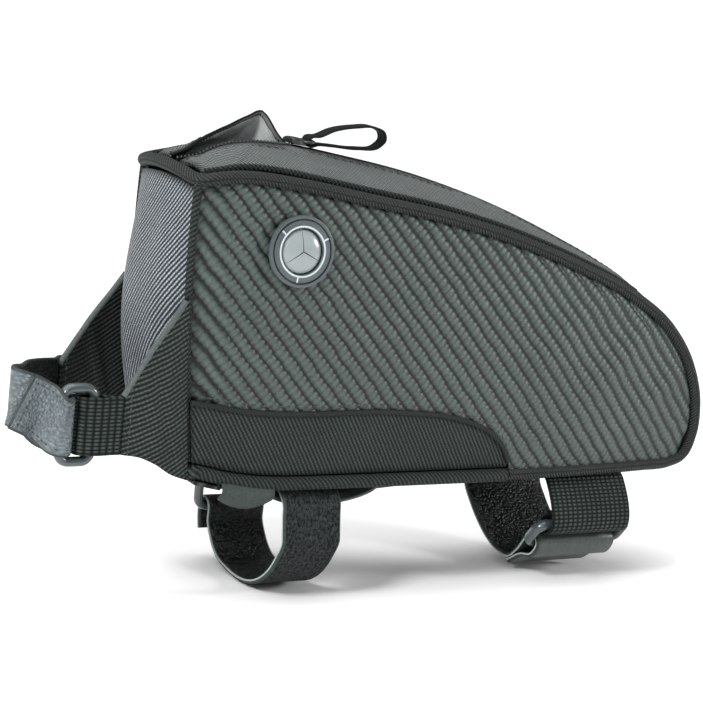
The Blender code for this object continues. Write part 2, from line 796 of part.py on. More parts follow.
def slit_guide(name, frame, turn):
    start = SLIT_WIDTH
    ends = ((start, -1), (SLIT_LENGTH, -1), (SLIT_LENGTH, 1), (start, 1))
    vertices = []
    spin = Matrix.Rotation(turn, 4, "Z")
    for height in (-PORT_DIAMETER / 4, PORT_DIAMETER / 4):
        for reach, sign in ends:
            spot = Vector((reach, sign * SLIT_WIDTH / 2, height))
            vertices.append(frame @ spin @ spot)
    faces = [(0, 1, 2, 3), (7, 6, 5, 4), (0, 4, 5, 1), (1, 5, 6, 2), (2, 6, 7, 3), (3, 7, 4, 0)]
    return add_object(name, vertices, faces, RUBBER, smooth=False)


def wing_front(side):
    reach = WING_REACH + (FAR_WING_EXTRA if side > 0 else 0.0)
    return float(side_points(0.0, 0.2, 1.0)[0]) - reach


def seam_at(height):
    """The front seam's x and half width at a height above the base."""
    up = np.clip(np.asarray(height) / HEIGHT, 0, 1)
    spot = side_points(0.0, up, 1.0)
    return spot[..., 0], spot[..., 1]


def build_wing(side, suffix):
    """A folded twill tab that carries the plane of the side forward and narrows to the strap's width."""
    rows = table(WING)
    reach = np.linspace(0, 1, 9)
    shape = rows(reach)
    share = np.linspace(0, 1, 6)[None, :]
    height = WING_TOP * (shape[:, 0:1] * (1 - share) + shape[:, 1:2] * share)
    seam_x, seam_half = seam_at(height)
    forward = reach[:, None]
    x = (seam_x - GAP) * (1 - forward) + wing_front(side) * forward
    y = seam_half - shape[:, 2:3] * HALF_WIDTH
    grid = np.stack([x, side * y, height], axis=-1)
    wall(f"wing_{suffix}", grid, WING_WALL, TWILL, inward=-side)


def strap_middle():
    """Height of the straps' middle at the wings' front edges, and where the near wing's cloth lies."""
    top, bottom, inward = WING[-1][1:]
    height = WING_TOP * (top + bottom) / 2
    _, half = seam_at(height)
    return height, half - inward * HALF_WIDTH - WING_WALL / 2


def ring_path(centre, long_axis, short_axis, length, breadth, corner):
    """A rounded rectangle, the path of a ring's wire."""
    path = []
    for quarter in range(4):
        sign_long = (1, -1, -1, 1)[quarter]
        sign_short = (1, 1, -1, -1)[quarter]
        middle = (
            np.array(centre)
            + np.array(long_axis) * sign_long * (length / 2 - corner)
            + np.array(short_axis) * sign_short * (breadth / 2 - corner)
        )
        for step in range(4):
            turn = np.pi / 2 * (quarter + step / 3)
            around = np.cos(turn) * np.array(long_axis) + np.sin(turn) * np.array(short_axis)
            path.append(middle + corner * around)
    return np.array(path)


def build_ring(name, centre, long_axis, short_axis, strap_width):
    """A moulded ring with two bars: its slot takes the webbing and the strap."""
    length = strap_width + 2 * RING_PLAY + RING_WIRE
    breadth = RING_SLOT + RING_WIRE
    corner = RING_WIRE
    path = ring_path(centre, long_axis, short_axis, length, breadth, corner)
    plane = np.cross(long_axis, short_axis)
    section = oval_section(RING_DEPTH, RING_WIRE)
    sweep(name, path, plane, section, NYLON, closed=True)


def wrap(centre, first, out, radius_first, radius_out, count=5):
    """Half a turn about a bar: from the centre plus first, through plus out, to the centre minus first."""
    turns = np.linspace(0, np.pi, count)
    return [
        np.array(centre)
        + np.array(first) * radius_first * np.cos(turn)
        + np.array(out) * radius_out * np.sin(turn)
        for turn in turns
    ]


def build_steerer_strap():
    """Webbing from the near wing to a ring, and the coated strap from the far wing round to the ring."""
    middle, lane = strap_middle()
    front = wing_front(-1.0)
    offset = RING_SLOT / 2 + RING_WIRE / 2
    strap_reach = WEBBING_REACH + 2 * offset + STEERER_NOSE
    ring_x = front - WEBBING_REACH - offset
    ring_y = -(lane - RING_DEPTH / 2)
    rear_bar = np.array([ring_x + offset, ring_y, middle])
    front_bar = np.array([ring_x - offset, ring_y, middle])
    up = np.array([0.0, 0.0, 1.0])
    build_ring("front_ring", (ring_x, ring_y, middle), up, (1.0, 0.0, 0.0), WEBBING_WIDTH)

    out = np.array([0.0, -1.0, 0.0])
    ahead = np.array([-1.0, 0.0, 0.0])
    stand = RING_DEPTH / 2 + 2 * GAP + WEBBING_WALL / 2
    beyond = RING_WIRE / 2 + WEBBING_SLACK + WEBBING_WALL / 2
    bend = wrap(rear_bar, out, ahead, stand, beyond, 7)
    sewn = WEBBING_WALL / 2 + GAP / 2
    outer = [np.array([front - GAP - reach, -lane - sewn, middle]) for reach in (0.0, 2 * MM)]
    inner = [spot + np.array([0.0, 2 * sewn, 0.0]) for spot in reversed(outer)]
    path = outer + bend + inner
    sweep("front_webbing", path, up, flat_section(WEBBING_WIDTH, WEBBING_WALL), WEBBING)

    loop = smooth_curve(STEERER_LOOP)
    shares = loop(np.linspace(0, 1, 26))
    around = np.stack(
        [
            front - shares[:, 0] * strap_reach,
            shares[:, 1] * HALF_WIDTH,
            middle + shares[:, 2] * strap_reach,
        ],
        axis=-1,
    )
    stand = RING_DEPTH / 2 + 2 * GAP + STRAP_WALL / 2
    beyond = RING_WIRE / 2 + 2 * GAP + STRAP_WALL / 2
    bend = wrap(front_bar, -out, -ahead, stand, beyond, 7)
    layer = np.array([0.0, -(STRAP_WALL + 2 * GAP), 0.0])
    tail = [around[-1] + layer, around[-4] + layer * 1.05]
    path = smooth_path(list(around) + bend + tail, 44)
    sweep("front_strap", path, up, flat_section(WEBBING_WIDTH, STRAP_WALL), COATED)


def smooth_path(points, count):
    curve = smooth_curve(points)
    return curve(np.linspace(0, 1, count))


def across_loop(rows, x, drop):
    """A strap's section across the bag as points under it."""
    return [np.array([x, share * STRAP_SPREAD, down * drop]) for share, down in rows]


def build_keeper():
    """The coated strip sewn under the base at both ends, slack between them where the strap passes."""
    strap_start = TUBE_STRAP_X - TUBE_STRAP_WIDTH / 2 - KEEPER_ROOM
    strap_end = TUBE_STRAP_X + TUBE_STRAP_WIDTH / 2 + KEEPER_TRAIL
    line = np.concatenate(
        [
            np.linspace(KEEPER_START, strap_start, 4),
            np.linspace(strap_start, strap_end, 11)[1:],
            np.linspace(strap_end, KEEPER_END, 3)[1:],
        ]
    )
    slack = np.clip((line - strap_start) / (strap_end - strap_start), 0, 1)
    sag = KEEPER_SAG * np.sin(np.pi * slack) ** 0.65
    across = np.linspace(-1, 1, 9)[None, :]
    half = (STRAP_SPREAD - KEEPER_INSET - KEEPER_WAIST * np.sin(np.pi * slack))[:, None]
    seat = np.array([base_under(x) for x in line]) - GAP
    fade = 1 - 0.75 * np.clip((line - strap_end) / (KEEPER_END - strap_end), 0, 1)
    lip = KEEPER_LIP * fade[:, None] * np.clip(np.abs(across) - 0.75, 0, 1) / 0.25
    z = (seat - sag)[:, None] - lip
    x = np.broadcast_to(line[:, None], z.shape)
    y = np.broadcast_to(across * half, z.shape)
    wall("keeper_strip", np.stack([x, y, z], axis=-1), KEEPER_WALL, COATED)


def build_tab(side, suffix):
    """A twill tab from the wing's foot, folded under the binding and the base at a front corner."""
    x = np.linspace(KEEPER_START - 2 * GAP - TAB_LENGTH, KEEPER_START - 2 * GAP, 5)
    under = np.array([base_under(spot) for spot in x]) - GAP
    across = np.linspace(0.45, 1.0, 6)
    drop = (BINDING_RADIUS + GAP) * np.clip((across - 0.62) / 0.2, 0, 1)
    z = under[:, None] - drop[None, :]
    y = np.broadcast_to(side * across * STRAP_SPREAD, z.shape)
    grid = np.stack([np.broadcast_to(x[:, None], z.shape), y, z], axis=-1)
    wall(f"corner_tab_{suffix}", grid, KEEPER_WALL, TWILL, inward=side)


def base_under(x):
    """Height of the base's underside at x."""
    ways = np.linspace(0, 1, 400)
    line = lower(ways)
    return float(np.interp(x, line[:, 0], line[:, 1]))


def build_front_tube_strap():
    """Hook-and-loop strap under the base, round the tube, through a far-side ring and back on itself."""
    x = TUBE_STRAP_X
    loop = across_loop(FRONT_LOOP, x, TUBE_STRAP_DROP)
    offset = RING_SLOT / 2 + RING_WIRE / 2
    stand = RING_DEPTH / 2 + 2 * GAP + STRAP_WALL / 2
    beyond = RING_WIRE / 2 + 2 * GAP + STRAP_WALL / 2
    up = np.array([0.0, 0.0, 1.0])
    out = np.array([0.0, 1.0, 0.0])
    ring = loop[-1] + out * stand + up * (offset + RING_DEPTH)
    build_ring("front_tube_ring", ring, (1.0, 0.0, 0.0), up, TUBE_STRAP_WIDTH)
    bend = wrap(ring - up * offset, -out, up, stand, beyond, 7)
    low = ring - up * (offset + RING_DEPTH)
    tail = [low + out * stand, low + out * (stand - TAIL_LEAN) - up * TAIL_DROP]
    path = smooth_path(loop + bend + tail, 52)
    section = flat_section(TUBE_STRAP_WIDTH, STRAP_WALL)
    sweep("front_tube_strap", path, (1.0, 0.0, 0.0), section, LOOP_PILE)
    build_tube_webbing("front_tube_webbing", ring + up * offset, out, up, TUBE_STRAP_WIDTH)


def build_tube_webbing(name, bar, side, rise, width):
    """Webbing sewn under the base that goes over its edge, round a ring's upper bar and back up behind.

    Side is the direction across the bag towards the ring, rise the ring's own direction from bar to bar.
    """
    up = np.array([0.0, 0.0, 1.0])
    out = np.cross(rise, (1.0, 0.0, 0.0))
    if np.dot(out, side) < 0:
        out = -out
    stand = RING_DEPTH / 2 + 2 * GAP + WEBBING_WALL / 2
    beyond = RING_WIRE / 2 + 2 * GAP + WEBBING_WALL / 2
    hold = np.array([bar[0], 0.0, 0.0])
    run = [hold + (side * share + up * drop) * STRAP_SPREAD for share, drop in WEBBING_RUN]
    bend = wrap(bar, out, -rise, stand, beyond, 7)
    back = bar - out * (stand - 0.5 * MM) + rise * WEBBING_TAIL
    path = smooth_path(run + bend + [back], 32)
    sweep(name, path, (1.0, 0.0, 0.0), flat_section(width, WEBBING_WALL), WEBBING)


def build_rear_tube_strap():
    """Coated strap from the base's far edge round the tube, through a ring on the near side and back."""
    x = FRONT_X + REAR_STRAP_ALONG * LENGTH
    loop = across_loop(REAR_LOOP, x, REAR_STRAP_DROP)
    offset = RING_SLOT / 2 + RING_WIRE / 2
    stand = RING_DEPTH / 2 + 2 * GAP + STRAP_WALL / 2
    beyond = RING_WIRE / 2 + 2 * GAP + STRAP_WALL / 2
    tilt = np.radians(REAR_RING_TILT)
    side = np.array([0.0, -1.0, 0.0])
    rise = np.array([0.0, -np.sin(tilt), np.cos(tilt)])
    out = np.array([0.0, -np.cos(tilt), -np.sin(tilt)])
    low = loop[-1] + out * stand + rise * RING_WIRE
    ring = low + rise * offset
    build_ring("rear_tube_ring", ring, (1.0, 0.0, 0.0), rise, REAR_STRAP_WIDTH)
    bend = wrap(low, -out, rise, stand, beyond, 7)
    layer = STRAP_WALL + 2 * GAP
    tail = [
        low + out * stand - rise * RING_WIRE,
        loop[-2] + out * layer * 1.25,
        loop[-3] - np.array([0.0, 0.0, layer]),
    ]
    path = smooth_path(loop + bend + tail, 56)
    section = flat_section(REAR_STRAP_WIDTH, STRAP_WALL)
    sweep("rear_tube_strap", path, (1.0, 0.0, 0.0), section, COATED)
    build_tube_webbing("rear_tube_webbing", ring + rise * offset, side, rise, REAR_STRAP_WIDTH)


def build_slider():
    """Zip slider on the crown, the wire eye behind it and its pull loop of woven tape."""
    top, _ = crown_line(SLIDER_ALONG)
    seat = float(top[1]) + GAP
    x = float(top[0])
    half_l, half_w = SLIDER_LENGTH / 2, SLIDER_WIDTH / 2
    rows = np.array([-1.0, -0.7, 0.0, 0.7, 1.0])
    columns = np.array([-1.0, -0.6, 0.6, 1.0])
    grid_x, grid_y = np.meshgrid(rows, columns, indexing="ij")
    y = grid_y * half_w * (1 - 0.25 * np.clip(grid_x, 0, 1))
    rise = SLIDER_HEIGHT * np.sqrt(1 - 0.45 * grid_x**4 - 0.35 * grid_y**4)
    slope = CROWN_SLOPE * grid_x * half_l
    above = np.stack([x + grid_x * half_l, y, seat + rise + slope], axis=-1)
    below = np.stack([x + grid_x * half_l, y, seat + slope], axis=-1)
    slider = wall_between("zip_slider", above, below, NYLON)

    arm = PULL_WIDTH / 2 + GAP + BAIL_WIRE / 2
    level = seat + SLIDER_HEIGHT * 0.45
    root, end = x + half_l * 0.6, x + half_l + BAIL_REACH
    eye = [(root, -arm * 0.7), (x + half_l, -arm), (end - BAIL_WIRE / 2, -arm), (end, -arm + BAIL_WIRE / 2)]
    eye += [(spot, -y) for spot, y in reversed(eye)]
    path = [np.array([spot, across, level]) for spot, across in eye]
    bail = sweep("bail_guide", path, (0.0, 0.0, 1.0), oval_section(BAIL_WIRE, BAIL_WIRE), NYLON)
    bail.hide_render = True
    bail.display_type = "WIRE"
    step = slider.modifiers.new("bail", "BOOLEAN")
    step.operation = "UNION"
    step.solver = "EXACT"
    step.object = bail

    start = np.array([end, 0.0, level])
    turn = BAIL_WIRE / 2 + GAP + PULL_WALL / 2
    path = [start + np.array([-turn, 0.0, 0.0]), start + np.array([-turn * 0.5, 0.0, turn])]
    path += [start + PULL_LENGTH * np.array([along, 0.0, up]) for along, up in PULL_LOOP]
    path += [start + np.array([-turn * 0.5, 0.0, -turn])]
    curve = smooth_curve(path + path[:1])
    ring = curve(np.linspace(0, 1, 37)[:-1])
    sweep("pull_loop", ring, (0.0, 1.0, 0.0), flat_section(PULL_WIDTH, PULL_WALL), WEBBING, closed=True)


def main():
    clear_scene()
    near_panel = build_side(-1.0, "near")
    build_side(1.0, "far")
    build_front_panel()
    build_base()
    build_piping()
    for side, suffix in ((-1.0, "near"), (1.0, "far")):
        build_binding(side, suffix)
        build_lid(side, suffix)
        build_wing(side, suffix)
        build_tab(side, suffix)
    build_gusset()
    build_port(near_panel)
    build_slider()
    build_steerer_strap()
    build_keeper()
    build_front_tube_strap()
    build_rear_tube_strap()


main()
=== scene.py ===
"""Top tube bag for a bicycle: the look of every piece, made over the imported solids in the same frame.

Lengths are metres and +Z is up. The bag's tall front looks along -X, its nose along +X, and the side with the
cable port along -Y. The origin is the middle of the base's underside.
"""

import bmesh
import bpy
import numpy as np
from bpy.props import FloatProperty, FloatVectorProperty, PointerProperty
from mathutils import Matrix, Vector


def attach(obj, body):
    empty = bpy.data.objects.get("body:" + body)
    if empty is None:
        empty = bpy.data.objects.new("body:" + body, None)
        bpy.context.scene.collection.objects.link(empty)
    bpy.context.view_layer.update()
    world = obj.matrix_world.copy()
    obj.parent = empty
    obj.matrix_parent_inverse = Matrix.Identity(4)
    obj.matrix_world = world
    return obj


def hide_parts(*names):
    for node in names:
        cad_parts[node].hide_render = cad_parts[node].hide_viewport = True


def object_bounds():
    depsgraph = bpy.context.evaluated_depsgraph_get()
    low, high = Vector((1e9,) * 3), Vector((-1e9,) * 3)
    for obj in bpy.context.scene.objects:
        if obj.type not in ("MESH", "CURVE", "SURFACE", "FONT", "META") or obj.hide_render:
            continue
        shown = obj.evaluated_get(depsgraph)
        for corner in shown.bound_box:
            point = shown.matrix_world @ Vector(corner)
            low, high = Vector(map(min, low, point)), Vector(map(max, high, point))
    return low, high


bl_info = {
    "name": "Top tube bag",
    "version": (1, 0, 0),
    "blender": (4, 5, 0),
    "location": "View3D > Sidebar > Bag",
    "description": "Makes the cloth, straps, zip and fittings of a top tube bag over its packed solids",
    "category": "Object",
}

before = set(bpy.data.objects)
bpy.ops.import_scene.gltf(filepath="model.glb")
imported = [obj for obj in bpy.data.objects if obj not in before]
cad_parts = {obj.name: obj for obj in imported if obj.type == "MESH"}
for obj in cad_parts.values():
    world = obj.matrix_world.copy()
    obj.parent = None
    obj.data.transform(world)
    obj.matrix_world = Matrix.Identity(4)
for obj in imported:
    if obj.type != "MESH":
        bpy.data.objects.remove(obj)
CAD_BOX = [list(corner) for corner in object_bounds()]
MM = 0.001

# Sizes shared with the solids
LENGTH = 228 * MM  # from the front seam's top to the piping at the nose
HEIGHT = 106.5 * MM  # highest point of the side piping's centre
HALF_WIDTH = 30 * MM  # widest half of the bag, at the belly of a side
FRONT_X = -110 * MM  # the front seam's top
GAP = 0.3 * MM  # clearance between neighbours that touch
SIDE_WALL = 2.0 * MM
INSERT_WALL = 1.8 * MM
FRONT_WALL = 2.0 * MM
BASE_WALL = 3.0 * MM
LID_WALL = 1.4 * MM
PIPING_RADIUS = 2.4 * MM
PANEL_INSET = PIPING_RADIUS + 1.5 * GAP  # edge of a side panel from the middle of its piping
PIPING_END = 0.735  # share of the outline where the piping gives way to the binding
FRONT_BOW = 2.0 * MM  # the front seam seen from the side is bowed forward
FRONT_BULGE = 9.5 * MM  # the front wall stands out between its seams
CORNER_RADIUS = 5.0 * MM  # where the piping turns across the front
PIPING_BOW = 3.0 * MM  # the front run of piping stands forward in the middle
PIPING_RISE = 2.5 * MM  # and upward
LID_RISE = 12 * MM  # height of the crown over the piping
LID_BELLY = 1.6 * MM  # each half of the lid is a little convex
ZIP_STRIP = 1.6 * MM  # width of one toothed edge
ZIP_WALL = 1.4 * MM
ZIP_SPLAY = 0.9 * MM  # half the groove between the closed zip's edges at the top
OPEN_SPREAD = 10 * MM  # how far the far half of the lid is pulled aside at the open zip
OPEN_LIFT = 9.6 * MM  # and how far it stands up
NEAR_SPREAD = 4 * MM  # how far the near half has slipped outward
SLIDER_ALONG = 0.1735  # way along of the slider's middle
SLIDER_LENGTH = 6 * MM
SLIDER_WIDTH = 8 * MM
SLIDER_HEIGHT = 2.4 * MM
BAIL_WIRE = 1.2 * MM
BAIL_REACH = 2.6 * MM  # how far the pull's eye stands behind the slider
CROWN_SLOPE = -0.12  # fall of the crown under the slider
PULL_WIDTH = 6 * MM
PULL_WALL = 1.0 * MM
PULL_LENGTH = 30 * MM
PORT_ALONG = 0.1515  # share of the way from the front seam to the nose
PORT_UP = 0.803  # share of the way from the base to the piping
PORT_DIAMETER = 25 * MM
PORT_BARREL = 20.4 * MM
PORT_BORE = 16 * MM
PORT_FLANGE = 1.4 * MM
PORT_DOME = 2.2 * MM
PORT_RUBBER = 1.2 * MM
SLIT_LENGTH = 6.2 * MM
SLIT_WIDTH = 0.5 * MM
WING_REACH = 24 * MM  # of the near wing from the front seam forward
FAR_WING_EXTRA = 3.4 * MM  # the far wing, pulled by the strap, stands out more
WING_TOP = 66 * MM
WING_WALL = 2.0 * MM
WEBBING_WIDTH = 20 * MM
WEBBING_WALL = 1.2 * MM
WEBBING_TAIL = 4.5 * MM  # end of the tube webbing, turned back past its ring's bar
WEBBING_REACH = 9.8 * MM  # from a wing's front edge to the ring's rear bar
STRAP_WALL = 1.8 * MM
RING_WIRE = 3.4 * MM  # ring bar across its plane
RING_DEPTH = 4.4 * MM  # ring bar along the strap's thickness
RING_SLOT = 7.8 * MM  # clear opening of a ring between its bars
RING_PLAY = 0.9 * MM  # room beside a strap in its ring
WEBBING_SLACK = 3.7 * MM  # how loosely the webbing goes round the front ring's bar
STEERER_NOSE = 13 * MM  # from the ring's front bar to the front of the loop round the steerer tube
TUBE_STRAP_WIDTH = 23 * MM
TUBE_STRAP_X = -56.5 * MM
TUBE_STRAP_DROP = 43 * MM
REAR_STRAP_WIDTH = 36 * MM
REAR_STRAP_ALONG = 0.7645  # share of the length from the front seam to the strap's middle
REAR_STRAP_DROP = 41 * MM
REAR_RING_TILT = 40  # degrees the rear ring leans out from upright
STRAP_INSET = 2 * MM  # how far the legs of a tube strap sit inside the sides' widest place
STRAP_SPREAD = HALF_WIDTH - STRAP_INSET  # half distance between the legs of a tube strap
KEEPER_START = -92 * MM
KEEPER_END = -6 * MM
KEEPER_ROOM = 6 * MM  # slack ahead of the tube strap
KEEPER_TRAIL = 15 * MM  # slack behind it
KEEPER_WALL = 1.4 * MM
KEEPER_SAG = 6.0 * MM
KEEPER_WAIST = 2.5 * MM  # it is narrower where the strap comes out
KEEPER_LIP = 2.6 * MM  # its long edges hang a little lower
TAIL_LEAN = 1.2 * MM  # the front tube strap's free end leans back to the strap by this much
TAIL_DROP = 5 * MM  # and hangs this far below the ring's turn
TAB_LENGTH = 10.5 * MM  # twill tabs under the front corners
NOSE_ROW = 11  # where the upper edge ends
TOE_ROW = 12  # where the lower edge ends
ZIP_END = 0.735
LID_START = (PIPING_RADIUS + GAP) * 1.4 / LENGTH  # way along of the lid's front edge, clear of the piping

# Outline of a side panel in side view, from the front seam's top over the nose and back along the base.
# Columns: share of the length from the front seam, share of the height
OUTLINE = (
    (0.000, 0.985), (0.060, 1.000), (0.160, 0.984), (0.290, 0.940), (0.420, 0.895), (0.560, 0.825),
    (0.700, 0.730), (0.820, 0.626), (0.910, 0.505), (0.964, 0.370), (0.995, 0.200), (0.996, 0.100),
    (0.982, 0.030), (0.945, 0.002), (0.900, 0.000), (0.880, 0.000), (0.220, 0.000), (0.200, 0.000),
    (0.163, 0.002), (0.095, 0.017), (0.023, 0.051),
)
# Half widths by the way along the side. Columns: way along, at the piping, at the base, belly between them,
# as shares of the half width
WIDTHS = (
    (0.00, 0.830, 0.870, 0.000), (0.12, 0.835, 0.935, 0.070), (0.30, 0.835, 0.965, 0.100),
    (0.50, 0.830, 0.965, 0.100), (0.70, 0.790, 0.930, 0.080), (0.85, 0.735, 0.830, 0.045),
    (1.00, 0.680, 0.690, 0.000),
)
# Crown of the lid over the piping. Columns: way along, share of the lid's rise
CROWN = (
    (0.000, 0.28), (0.035, 0.36), (0.060, 0.64), (0.085, 0.82), (0.120, 0.93), (0.250, 1.00), (0.450, 0.86),
    (0.600, 0.70), (0.740, 0.54), (0.860, 0.31), (1.000, 0.12),
)
# The open end of the zip. Columns: way along, share of the far half's spread, of its lift, of the near half's
# spread
MOUTH = (
    (0.000, 0.00, 0.00, 0.00), (0.030, 0.30, 0.05, 0.35),
    (0.060, 0.62, 0.12, 0.80), (0.090, 0.86, 0.33, 1.00),
    (0.120, 0.98, 0.70, 0.90), (0.142, 1.00, 0.98, 0.70),
    (0.149, 0.86, 0.84, 0.50), (0.156, 0.30, 0.28, 0.20),
    (0.163, 0.00, 0.00, 0.00),
)
# Lower edge of the carbon-look panel. Columns: way along, share of the height there
INSERT_EDGE = (
    (0.000, 0.224), (0.080, 0.222), (0.200, 0.232), (0.330, 0.248), (0.420, 0.244), (0.480, 0.222),
    (0.528, 0.180), (0.563, 0.115), (0.590, 0.028),
)
# A wing from its root to its front edge. Columns: share of the reach, top and bottom as shares of its top,
# and how far it has turned inward as a share of the half width
WING = (
    (0.00, 1.000, 0.025, 0.00), (0.25, 0.875, 0.060, 0.00), (0.50, 0.760, 0.120, 0.01),
    (0.75, 0.625, 0.158, 0.02), (1.00, 0.475, 0.172, 0.03),
)
# Steerer strap from the far wing round the front to the near ring. Columns: share of the reach from the
# wings' front edges, share of the half width (negative on the near side), height above the wing's middle as a
# share of the reach
STEERER_LOOP = (
    (0.150, 0.745, 0.075), (0.235, 0.640, 0.097), (0.460, 0.375, 0.150), (0.735, 0.020, 0.208),
    (0.930, -0.310, 0.238), (1.055, -0.460, 0.262), (1.075, -0.570, 0.260), (0.985, -0.630, 0.225),
    (0.820, -0.605, 0.140),
)
# Section of the front tube strap across the bag. Columns: share of the spread, share of the drop
FRONT_LOOP = (
    (0.100, -0.040), (-0.300, -0.040), (-0.650, -0.042), (-0.880, -0.085), (-1.010, -0.160), (-1.050, -0.290),
    (-1.080, -0.400), (-1.100, -0.490), (-1.000, -0.620),
    (-0.780, -0.805), (-0.440, -0.950), (-0.100, -1.005),
    (0.310, -0.995), (0.630, -0.945), (0.860, -0.815), (0.975, -0.690),
)
# Section of the rear tube strap across the bag. Columns: share of the spread, share of the drop
REAR_LOOP = (
    (0.300, -0.042), (0.600, -0.044), (0.800, -0.075), (0.960, -0.130), (1.050, -0.230), (1.070, -0.340),
    (1.020, -0.490), (0.830, -0.640), (0.580, -0.785), (0.320, -0.895), (0.020, -0.960), (-0.215, -0.955),
    (-0.400, -0.850), (-0.545, -0.720),
)
# The slider's pull in side view. Columns: along and up, as shares of its length
PULL_LOOP = (
    (0.10, 0.070), (0.28, 0.145), (0.58, 0.200), (0.84, 0.205), (0.97, 0.145), (0.99, 0.065), (0.92, -0.015),
    (0.62, -0.055), (0.25, -0.035), (0.08, -0.030),
)
# Webbing from under the base to a ring. Columns: share of the spread outward and upward
WEBBING_RUN = (
    (0.200, -0.038), (0.420, -0.038), (0.600, -0.040), (0.740, -0.075), (0.850, -0.125), (0.925, -0.210),
)

# Broad soft folds of a side. Columns: way along, how far the fold leans over the height, width, height in mm
PUCKERS = ((0.615, 0.16, 0.034, 1.6), (0.735, 0.13, 0.028, 2.4), (0.850, 0.09, 0.022, 2.0))

# Cloth details that only the visible pieces have
SEAM_CORD_RADIUS = 1.35 * MM  # folded seam allowance between a side and the front wall
SEAM_CORD_TUCK = 2.5 * MM  # how far that fold lies inside the side's outer face
LID_CORD_RADIUS = 1.15 * MM  # folded seam allowance between the lid and the piping
COIL_WIDTH = 1.5 * MM  # of the zip's coil
PIPING_SLIM = 0.92  # the covered cord's radius as a share of the solid's
PIPING_DRAWN = 0.9 * MM  # how far the piping is drawn inward behind the front corner
SLIT_NARROW = 0.42  # half width of a closed slit as a share of SLIT_WIDTH

SETTLE_STEPS = 16  # of the cloth simulation

# Photo view
CAMERA_ANGLES = (-31.08, 11.32, 6.28)  # azimuth, height and roll in degrees
CAMERA_AIM = (-0.030, 0.0, 0.0405)
CAMERA_DISTANCE = 0.8143
CAMERA_FOCAL = 2235.6  # in pixels
IMAGE = 703  # width of the photograph in pixels
SENSOR = 36.0  # mm

UP = np.array([0.0, 0.0, 1.0])
BAR_OFFSET = RING_SLOT / 2 + RING_WIRE / 2  # from a ring's middle to the middle of either bar
STRAP_STAND = RING_DEPTH / 2 + 2 * GAP + STRAP_WALL / 2  # from a bar's middle to a strap beside it
STRAP_BEYOND = RING_WIRE / 2 + 2 * GAP + STRAP_WALL / 2  # and to one that turns round it


# Curves and surfaces of the bag


def even_slopes(points, knots):
    """Slopes at the knots that keep the curve from overshooting its points."""
    steps = np.diff(knots)[:, None]
    rates = np.diff(points, axis=0) / steps
    before, after = rates[:-1], rates[1:]
    near = 2 * steps[1:] + steps[:-1]
    far = steps[1:] + 2 * steps[:-1]
    same = before * after > 0
    safe_before, safe_after = np.where(same, before, 1.0), np.where(same, after, 1.0)
    middle = np.where(same, (near + far) / (near / safe_before + far / safe_after), 0.0)
    return np.concatenate([rates[:1], middle, rates[-1:]])


def smooth_curve(rows, parameters=None, even=False):
    """The smooth curve through the rows, as a function of a parameter from 0 to 1 or of the one given."""
    points = np.array(rows, float)
    if parameters is None:
        steps = np.linalg.norm(np.diff(points, axis=0), axis=1)
        knots = np.concatenate([[0.0], np.cumsum(steps)])
        knots /= knots[-1]
    else:
        knots = np.array(parameters, float)
    slopes = even_slopes(points, knots) if even else np.gradient(points, knots, axis=0)

    def at(where):
        where = np.clip(np.asarray(where, float), knots[0], knots[-1])
        row = np.clip(np.searchsorted(knots, where, side="right") - 1, 0, len(knots) - 2)
        span = (knots[row + 1] - knots[row])[..., None]
        part = (where - knots[row])[..., None] / span
        square = part * part
        cube = square * part
        start = (2 * cube - 3 * square + 1) * points[row]
        leave = (cube - 2 * square + part) * span * slopes[row]
        end = (3 * square - 2 * cube) * points[row + 1]
        arrive = (cube - square) * span * slopes[row + 1]
        return start + leave + end + arrive

    at.knots = knots
    return at


def table(rows):
    """The smooth curve through a table whose first column is the parameter."""
    columns = np.array(rows, float)
    return smooth_curve(columns[:, 1:], columns[:, 0], even=True)


outline = smooth_curve([(FRONT_X + along * LENGTH, up * HEIGHT) for along, up in OUTLINE])
widths = table(WIDTHS)
crown = table(CROWN)
mouth = table(MOUTH)
insert_edge = table(INSERT_EDGE)


def upper(way):
    return outline(np.asarray(way) * outline.knots[NOSE_ROW])


def lower(way):
    return outline(1.0 - np.asarray(way) * (1.0 - outline.knots[TOE_ROW]))


def inset(turn, by):
    """The outline at a turn, set inward by a distance."""
    step = 1e-4
    ahead = outline(np.clip(turn + step, 0, 1)) - outline(np.clip(turn - step, 0, 1))
    ahead /= np.linalg.norm(ahead, axis=-1, keepdims=True)
    inward = np.stack([ahead[..., 1], -ahead[..., 0]], axis=-1)
    return outline(turn) + inward * by


def half_width(way, up):
    share = widths(way)
    belly = 4 * up * (1 - up)
    return HALF_WIDTH * (share[..., 1] * (1 - up) + share[..., 0] * up + share[..., 2] * belly)


def side_points(way, up, side):
    """Points on a side's outer face: way from the front seam to the nose, up from the base to the piping."""
    way, up = np.broadcast_arrays(np.asarray(way, float), np.asarray(up, float))
    low = inset(1.0 - way * (1.0 - outline.knots[TOE_ROW]), PANEL_INSET)
    high = inset(way * outline.knots[NOSE_ROW], PANEL_INSET)
    place = low * (1 - up)[..., None] + high * up[..., None]
    bow = FRONT_BOW * 4 * up * (1 - up) * (1 - way) ** 4
    return np.stack([place[..., 0] - bow, side * half_width(way, up), place[..., 1]], axis=-1)


def side_height(way):
    return np.linalg.norm(side_points(way, 1.0, 1.0) - side_points(way, 0.0, 1.0), axis=-1)


def front_edge(across):
    swell = 1 - np.asarray(across) ** 2
    return PIPING_BOW * swell, PIPING_RISE * swell


